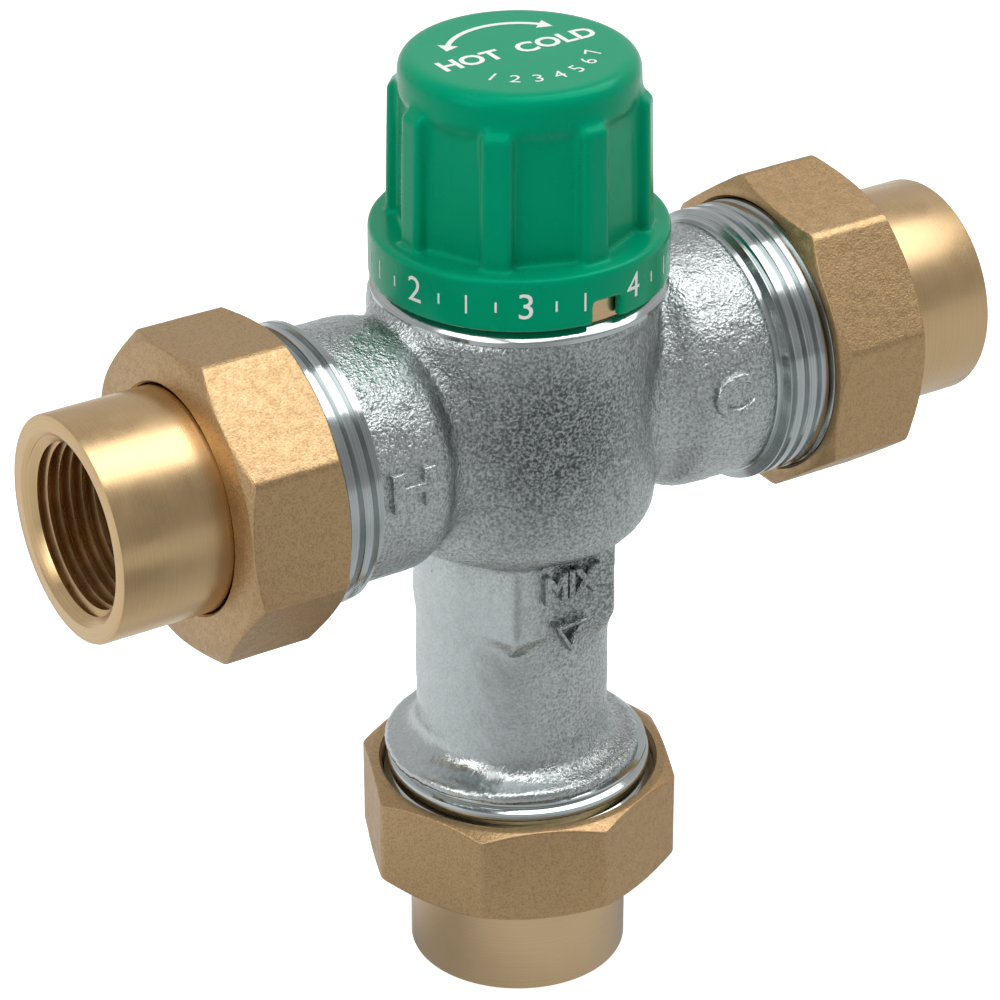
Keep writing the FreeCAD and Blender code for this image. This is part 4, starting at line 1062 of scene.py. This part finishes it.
@dataclass
class Tailpiece:
    """Turned brass connector with a taper pipe thread in its mouth."""

    finishes: Finishes
    port: Port
    radius: float = 16.5
    flange_radius: float = 19.2
    flange_low: float = 20.2
    flange_top: float = 23.8
    mouth_radius: float = 14.0
    crest_radius: float = 12.1
    thread_depth: float = 16.0
    thread_height: float = 1.28
    thread_taper: float = 0.35
    bore_radius: float = 11.0
    seat_radius: float = 13.5
    seat_depth: float = 1.2
    pitch: float = 1.814

    def outline(self) -> list[tuple[float, float]]:
        """Section of the connector before its thread is cut."""
        seat = self.flange_top - self.seat_depth
        points = [(self.mouth_radius, 0.06), (self.mouth_radius + 0.12, 0.0), (self.radius - 0.4, 0.0),
                  (self.radius - 0.12, 0.12), (self.radius, 0.4), (self.radius, self.flange_low),
                  (self.flange_radius, self.flange_low), (self.flange_radius, self.flange_top)]
        if self.port is Port.OUTLET:
            points.append((self.bore_radius, self.flange_top))
        else:
            points += [(self.seat_radius, self.flange_top), (self.seat_radius, seat),
                       (self.bore_radius, seat)]
        return points + [(self.bore_radius, self.thread_depth), (self.crest_radius, self.thread_depth),
                         (self.crest_radius, self.mouth_radius - self.crest_radius)]

    def thread_cutter(self) -> Object:
        """Groove of the pipe thread, shallower towards its end because it tapers."""
        start = -1.8
        turns = (self.thread_depth - 0.6 - start) / self.pitch
        inner = self.crest_radius - 0.1
        narrow = 0.10

        def section(share: float) -> list[tuple[float, float]]:
            """Trapezium with its narrow side at the root, outside the bore."""
            fade = min(1.0, (1 - share) * 9)
            root = self.crest_radius + 0.05 + (self.thread_height - self.thread_taper * share) * fade
            wide = min(narrow + (root - inner) * math.tan(math.radians(30)), self.pitch * 0.49)
            return [(inner, -wide), (inner, wide), (root, narrow), (root, -narrow)]

        return helix_ridge(self.port.value + "_pipe_thread", self.pitch, start, turns, section)

    def build(self) -> Object:
        """Build the connector's mesh, dress it and hide the plain solid."""
        tail = lathe(self.port.value + "_tail_dressed", self.outline(), 192)
        combine(tail, self.thread_cutter(), Cut.DIFFERENCE)
        paint_all(tail, self.finishes.brass_z if self.port is Port.OUTLET else self.finishes.brass_x)
        shade(tail, 25)
        placed(tail, self.port.placement())
        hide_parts(self.port.value + "_tailpiece")
        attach(tail, "casting_group")
        return tail


# ------------------------------------------------------------------ cap
@dataclass
class CapMoulding:
    """The green cap with the soft edges of a moulding, hollow as the solid is."""

    finishes: Finishes
    low: float = 21.5
    shelf: float = 28.0
    roof: float = 52.2
    skirt_bore: float = 20.3
    grip_bore: float = 14.65
    plug_over: float = 0.4
    voxel: float = 0.32
    notch_wide: float = 4.7
    notch_high: float = 3.3
    notch_turn: float = 2.4

    def plug(self) -> Object:
        """Solid that fills the hollow and stands out of its mouth."""
        mouth, over = AXIS_MM + self.low, self.plug_over
        skirt = cylinder("plug_skirt", self.skirt_bore + over, mouth - 4, AXIS_MM + self.shelf + over, 96)
        grip = cylinder("plug_grip", self.grip_bore + 0.3, mouth - 2, AXIS_MM + self.roof + over, 96)
        return combine(skirt, grip, Cut.UNION)

    def below(self, level: float) -> Object:
        """Disc that reaches up to a level over the inlet axis."""
        return cylinder("below", 25, AXIS_MM + 5, AXIS_MM + level, 64)

    def under_head(self, point: Vector) -> float:
        """Share of extra rounding where the head runs into the flat panels.

        Args:
            point: Place on the cap, in metres.

        Returns:
            Share up to 1, where a value below 0 counts as none.
        """
        rise = (point.z - PORT_HEIGHT) / MM
        clear_of_ribs = (17.95 - math.hypot(point.x, point.y) / MM) / 0.5
        return min(max((rise - 43.5) / 2.5, 0), max((51.8 - rise) / 1.5, 0), max(clear_of_ribs, 0), 1)

    def notch(self) -> Object:
        """Pry notch through the lower edge of the skirt."""
        half = self.notch_wide / 2
        corners = [(x * MM, y * MM, (AXIS_MM + self.low + rise) * MM) for rise in (-1, self.notch_high)
                   for x, y in ((-half, -24), (half, -24), (half, -11), (-half, -11))]
        block = from_arrays("notch", np.array(corners), ring_faces(2, 4, closed=False))
        return placed(block, turned(self.notch_turn, "Z"))

    def build(self) -> Object:
        """Build the moulding and hide the plain solid."""
        hollow = combine(self.plug(), merged_copy("cap_copy", "temperature_cap"), Cut.DIFFERENCE)
        combine(hollow, self.below(self.low), Cut.UNION)
        shell = combine(merged_copy("cap_shell", "temperature_cap"), self.plug(), Cut.UNION)
        combine(shell, self.below(self.low - 1.5), Cut.DIFFERENCE)
        remeshed(shell, self.voxel, 5)
        softened(shell, 40, self.under_head)
        combine(shell, hollow, Cut.DIFFERENCE)
        combine(shell, self.notch(), Cut.DIFFERENCE)
        shell.name = "moulded_cap"
        paint_all(shell, self.finishes.green)
        shade(shell, 50)
        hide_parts("temperature_cap")
        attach(shell, "cap_group")
        return shell


@dataclass
class CapPrint:
    """White pad print on the cap: a plain scale of numbers and ticks."""

    finishes: Finishes
    skirt_radius: float = 21.7
    skirt_middle: float = 25.3
    top: float = 54.8
    ink: float = 0.03
    notch_degrees: float = -87.6
    notch_clear: float = 8.5
    number_step: float = 45.0
    first_number: float = -210.0
    arrow_radius: float = 10.2
    arrow_ends: tuple[float, float] = (42.0, 138.0)
    arc_step: float = 3.0
    longest_edge: float = 0.6

    def wrapped(self, item: Object, centre_degrees: float) -> Object:
        """Bend flat print round the skirt.

        Args:
            item: Print on the XY plane.
            centre_degrees: Where its middle goes round the cap.

        Returns:
            The same object.
        """
        radius = (self.skirt_radius + self.ink) * MM
        with editing(item.data) as shape:
            long_edges = [edge for edge in shape.edges if edge.calc_length() > self.longest_edge * MM]
            bmesh.ops.subdivide_edges(shape, edges=long_edges, cuts=2)
            bmesh.ops.triangulate(shape, faces=shape.faces)
            for vertex in shape.verts:
                angle = math.radians(centre_degrees) + vertex.co.x / radius
                height = PORT_HEIGHT + self.skirt_middle * MM + vertex.co.y
                vertex.co = Vector((radius * math.cos(angle), radius * math.sin(angle), height))
        return item

    def bar(self, width: float, tall: float) -> Object:
        """Flat bar centred on the origin, in millimetres."""
        return rectangle("print_bar", width * MM / 2, tall * MM / 2)

    def arc(self, width: float) -> Object:
        """Flat band of the double arrow.

        Args:
            width: Width of the band, in millimetres.

        Returns:
            The mesh object.
        """
        start, end = self.arrow_ends
        steps = int((end - start) / self.arc_step)
        points = []
        for angle in np.radians(np.linspace(start, end, steps + 1)):
            for edge in (self.arrow_radius - width / 2, self.arrow_radius + width / 2):
                points.append((edge * MM * math.cos(angle), edge * MM * math.sin(angle), 0))
        faces = [(2 * step, 2 * step + 1, 2 * step + 3, 2 * step + 2) for step in range(steps)]
        return from_arrays("print_arc", np.array(points), faces)

    def arrow_head(self, degrees: float, side: float) -> Object:
        """Flat arrow head at an end of the arc, pointing on round it.

        Args:
            degrees: Where the head starts.
            side: 1 or -1, the way it points.

        Returns:
            The mesh object.
        """
        points = []
        for out, turn in ((-1.5, degrees), (1.5, degrees), (0, degrees + side * 12)):
            radius = (self.arrow_radius + out) * MM
            points.append((radius * math.cos(math.radians(turn)), radius * math.sin(math.radians(turn)), 0))
        return from_arrays("print_arrow", np.array(points), [(0, 1, 2)])

    def skirt_scale(self) -> list[Object]:
        """Numbers round the skirt, with three ticks after each."""
        parts = []
        for step in range(8):
            centre = self.first_number + self.number_step * step
            parts.append(self.wrapped(letters(str(step + 1), 4.0, 3), centre))
            for quarter, tall in ((1, 1.6), (2, 2.8), (3, 1.6)):
                place = centre + quarter * self.number_step / 4
                if abs((place - self.notch_degrees + 180) % 360 - 180) > self.notch_clear:
                    parts.append(self.wrapped(self.bar(0.3, tall), place))
        return parts

    def top_print(self) -> list[Object]:
        """Two words, a double arrow and a small row of numbers, flat on the cap's top."""
        parts = [placed(letters(word, 3.4, 3, {"offset": 0.14 * MM}), moved(along, 0.4, 0))
                 for word, along in (("HOT", -7.8), ("COLD", 6.3))]
        parts.append(self.arc(0.8))
        parts += [self.arrow_head(degrees, side) for degrees, side in zip(self.arrow_ends, (-1, 1))]
        for number in range(1, 8):
            spot = turned(18 * (number - 4), "Z") @ moved(0, -10.4, 0)
            parts.append(placed(letters(str(number), 2.6, 3), spot))
        return [placed(part, moved(0, 0, AXIS_MM + self.top + self.ink)) for part in parts]

    def build(self) -> Object:
        """Build the print and put it on the cap."""
        printed = joined("cap_scale_print", self.skirt_scale() + self.top_print())
        paint_all(printed, self.finishes.print)
        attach(printed, "cap_group")
        return printed


# ------------------------------------------------------------------ pieces that keep their solid
@dataclass
class KeptSolids:
    """Solids whose shape is right, each with the finish of the real piece."""

    finishes: Finishes

    def build(self) -> int:
        """Dress them and return how many there are."""
        finishes = self.finishes
        dressed = (
            (finishes.brass_z, "bonnet spindle lifter_nut"),
            (finishes.rubber, "bonnet_seal spindle_seal shuttle_seal hot_check_seal cold_check_seal"),
            (finishes.polymer, "shuttle outlet_guide hot_check_poppet cold_check_poppet"),
            (finishes.copper, "wax_capsule"),
            (finishes.steel, "spindle_clip cup_clip overload_spring overload_cup push_pin return_spring "
                             "hot_strainer cold_strainer hot_check_spring cold_check_spring"),
            (finishes.fibre, "outlet_union_gasket hot_union_gasket cold_union_gasket"),
            (finishes.acetal, "hot_check_cage cold_check_cage"),
        )
        count = 0
        for material, nodes in dressed:
            for node in nodes.split():
                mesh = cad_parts[node].data
                mesh.materials.clear()
                mesh.materials.append(material)
                count += 1
        self.give("hot_check_spring", 0, 1)
        self.give("cold_check_spring", 0, -1)
        self.give("overload_spring", 2, 1)
        self.give("return_spring", 2, -1)
        return count

    def give(self, node: str, axis: int, fixed_side: int) -> None:
        """Give a spring its own copy of its mesh; its fixed end is found, but the spring does not shorten.

        Args:
            node: Name of the spring.
            axis: 0 for a spring along X, 2 for one along Z.
            fixed_side: 1 where the end that stays put is the one with the larger place along the axis.
        """
        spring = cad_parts[node]
        places = [spring.matrix_world @ vertex.co for vertex in spring.data.vertices]
        ends = [min(place[axis] for place in places), max(place[axis] for place in places)]
        anchor = sum(places, Vector()) / len(places)
        anchor[axis] = ends[1] if fixed_side > 0 else ends[0]
        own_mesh(spring)


# ------------------------------------------------------------------ studio
@dataclass
class Studio:
    """Pale floor, soft boxes, surroundings and the camera, in metres."""

    lens: float = 153.9
    camera_place: tuple[float, float, float] = (-0.3001, -0.4678, 0.3761)
    camera_back: tuple[float, float, float] = (-0.4715, -0.7430, 0.4750)
    camera_up: tuple[float, float, float] = (0.2545, 0.4011, 0.8800)
    aim: tuple[float, float, float] = (0.0, 0.0, 0.08)
    floor_half: float = 3.0
    floor_glow: float = 0.72
    floor_ahead: tuple[float, float, float] = (0.25, -0.97, 0.0)
    floor_dark_spot: tuple[float, float, float] = (-0.085, -0.170, 0.0)
    floor_under: tuple[float, float, float] = (0.45, 1.5, 1.0)
    wall_ahead: tuple[float, float, float] = (-0.30, -0.90, 0.30)
    fill: float = 0.34

    def look(self, item: Object, place: Sequence[float], back: Vector, up: Vector) -> None:
        """Link a camera or lamp and turn it.

        Args:
            item: Camera or lamp, which looks along its own -Z.
            place: Where it stands.
            back: Direction that it looks away from.
            up: Direction roughly up in its view.
        """
        bpy.context.scene.collection.objects.link(item)
        back = back.normalized()
        right = up.cross(back).normalized()
        turn = Matrix((right, back.cross(right), back)).transposed().to_4x4()
        item.matrix_world = Matrix.Translation(place) @ turn

    def camera(self) -> None:
        """Place the camera."""
        data = bpy.data.cameras.new("camera")
        data.lens = self.lens
        data.sensor_width = 36.0
        data.clip_start = 0.01
        made = bpy.data.objects.new("camera", data)
        self.look(made, self.camera_place, Vector(self.camera_back), Vector(self.camera_up))
        bpy.context.scene.camera = made

    def soft_box(self, name: str, place: tuple[float, float, float], size: tuple[float, float],
                 power: float) -> None:
        """Area lamp aimed at the middle of the object.

        Args:
            name: Name of the lamp.
            place: Where it hangs.
            size: Its size along X, which lies level, and across.
            power: Watts.
        """
        data = bpy.data.lights.new(name, "AREA")
        data.shape = "RECTANGLE"
        data.size, data.size_y = size
        data.energy = power
        back = Vector(place) - Vector(self.aim)
        self.look(bpy.data.objects.new(name, data), place, back, back.cross(Vector((1, 0, 0))))

    def paper(self) -> Material:
        """Pale paper that shows as white with the object's shadow; the metal sees it darker in front."""
        made, add, spot = blank_material("pale_paper")
        path = add("LightPath")
        seen = add("Math", {"operation": "MAXIMUM"},
                   {0: path.outputs["Is Camera Ray"], 1: path.outputs["Is Transmission Ray"]})
        level = add("Math", {"operation": "MULTIPLY", 1: self.floor_glow}, {0: seen})
        glow = add("Emission", {"Color": WHITE}, {"Strength": level})
        matt = add("BsdfDiffuse", {"Color": linear("F2F2F2")})
        both = add("AddShader", links={0: glow, 1: matt})
        # what the metal mirrors: a level that falls off ahead, a dark spot, and a painted shadow of the
        # object underneath
        ahead = add("VectorMath", {"operation": "DOT_PRODUCT", 1: self.floor_ahead}, {0: spot})
        base = add("MapRange", {"From Min": -0.12, "From Max": 0.03, "To Min": 0.94, "To Max": 0.68},
                   {"Value": ahead.outputs["Value"]})
        gap = add("VectorMath", {"operation": "DISTANCE", 1: self.floor_dark_spot}, {0: spot})
        dark = add("MapRange", {"From Min": 0.05, "From Max": 0.15, "To Min": 0.55},
                   {"Value": gap.outputs["Value"]})
        # painted shadow of the valve on the floor, seen only in reflections
        across = add("VectorMath", {"operation": "MULTIPLY", 1: self.floor_under}, {0: spot})
        under = add("VectorMath", {"operation": "LENGTH"}, {0: across})
        shaded = add("MapRange", {"From Min": 0.010, "From Max": 0.034, "To Min": 0.55},
                     {"Value": under.outputs["Value"]})
        both_dark = add("Math", {"operation": "MULTIPLY"}, {0: dark, 1: shaded})
        shown = add("Math", {"operation": "MULTIPLY"}, {0: base, 1: both_dark})
        mirrored = add("Emission", {"Color": (0.97, 0.99, 1.0, 1.0)}, {"Strength": shown})
        either = add("MixShader", links={0: path.outputs["Is Glossy Ray"], 1: both, 2: mirrored})
        add("OutputMaterial", links={"Surface": either})
        return made

    def world(self) -> None:
        """White for the camera, dimmer walls for the metal, and a gentle fill."""
        world = bpy.data.worlds.new("studio")
        bpy.context.scene.world = world
        world.use_nodes = True
        world.node_tree.nodes.clear()
        add = partial(add_node, world)
        ahead = add("VectorMath", {"operation": "DOT_PRODUCT", 1: self.wall_ahead},
                    {0: add("TexCoord").outputs["Generated"]})
        dimmed = add("MapRange", {"From Min": -0.5, "From Max": 0.8, "To Min": 0.60, "To Max": 0.34},
                     {"Value": ahead.outputs["Value"]})
        white = add("Background", {"Color": WHITE})
        walls = add("Background", {"Color": WHITE}, {"Strength": dimmed})
        fill = add("Background", {"Color": WHITE, "Strength": self.fill})
        path = add("LightPath")
        seen = add("Math", {"operation": "MAXIMUM"},
                   {0: path.outputs["Is Camera Ray"], 1: path.outputs["Is Transmission Ray"]})
        lit = add("MixShader", links={0: path.outputs["Is Glossy Ray"], 1: fill, 2: walls})
        add("OutputWorld", links={"Surface": add("MixShader", links={0: seen, 1: lit, 2: white})})

    def build(self) -> None:
        """Set up floor, lamps, world and camera."""
        floor = rectangle("floor", self.floor_half, self.floor_half)
        floor.data.materials.append(self.paper())
        self.soft_box("key_above", (0.26, -0.13, 0.88), (1.15, 0.6), 6.0)
        self.soft_box("key_left", (-0.46, -0.08, 0.82), (0.3, 0.6), 1.5)
        self.soft_box("fill_left", (-0.85, -0.15, 0.5), (0.35, 0.5), 1.8)
        self.world()
        self.camera()
        bpy.context.scene.view_settings.view_transform = "Standard"


def main() -> None:
    """Build every piece in order and report it."""
    logging.basicConfig(level=logging.INFO, format="%(message)s")
    finishes = Finishes()
    body = Casting(finishes).build()
    LOG.info("casting: %d faces", len(body.data.polygons))
    for port, turn in ((Port.HOT, 40.0), (Port.COLD, 35.5), (Port.OUTLET, 22.5)):
        nut = UnionNut(finishes, port, turn).build()
        tail = Tailpiece(finishes, port).build()
        LOG.info("%s union: %d and %d faces", port.value, len(nut.data.polygons), len(tail.data.polygons))
    cap = CapMoulding(finishes).build()
    LOG.info("cap: %d faces", len(cap.data.polygons))
    printed = CapPrint(finishes).build()
    LOG.info("cap print: %d faces", len(printed.data.polygons))
    LOG.info("kept solids: %d", KeptSolids(finishes).build())
    Studio().build()


if __name__ == "__main__":
    main()
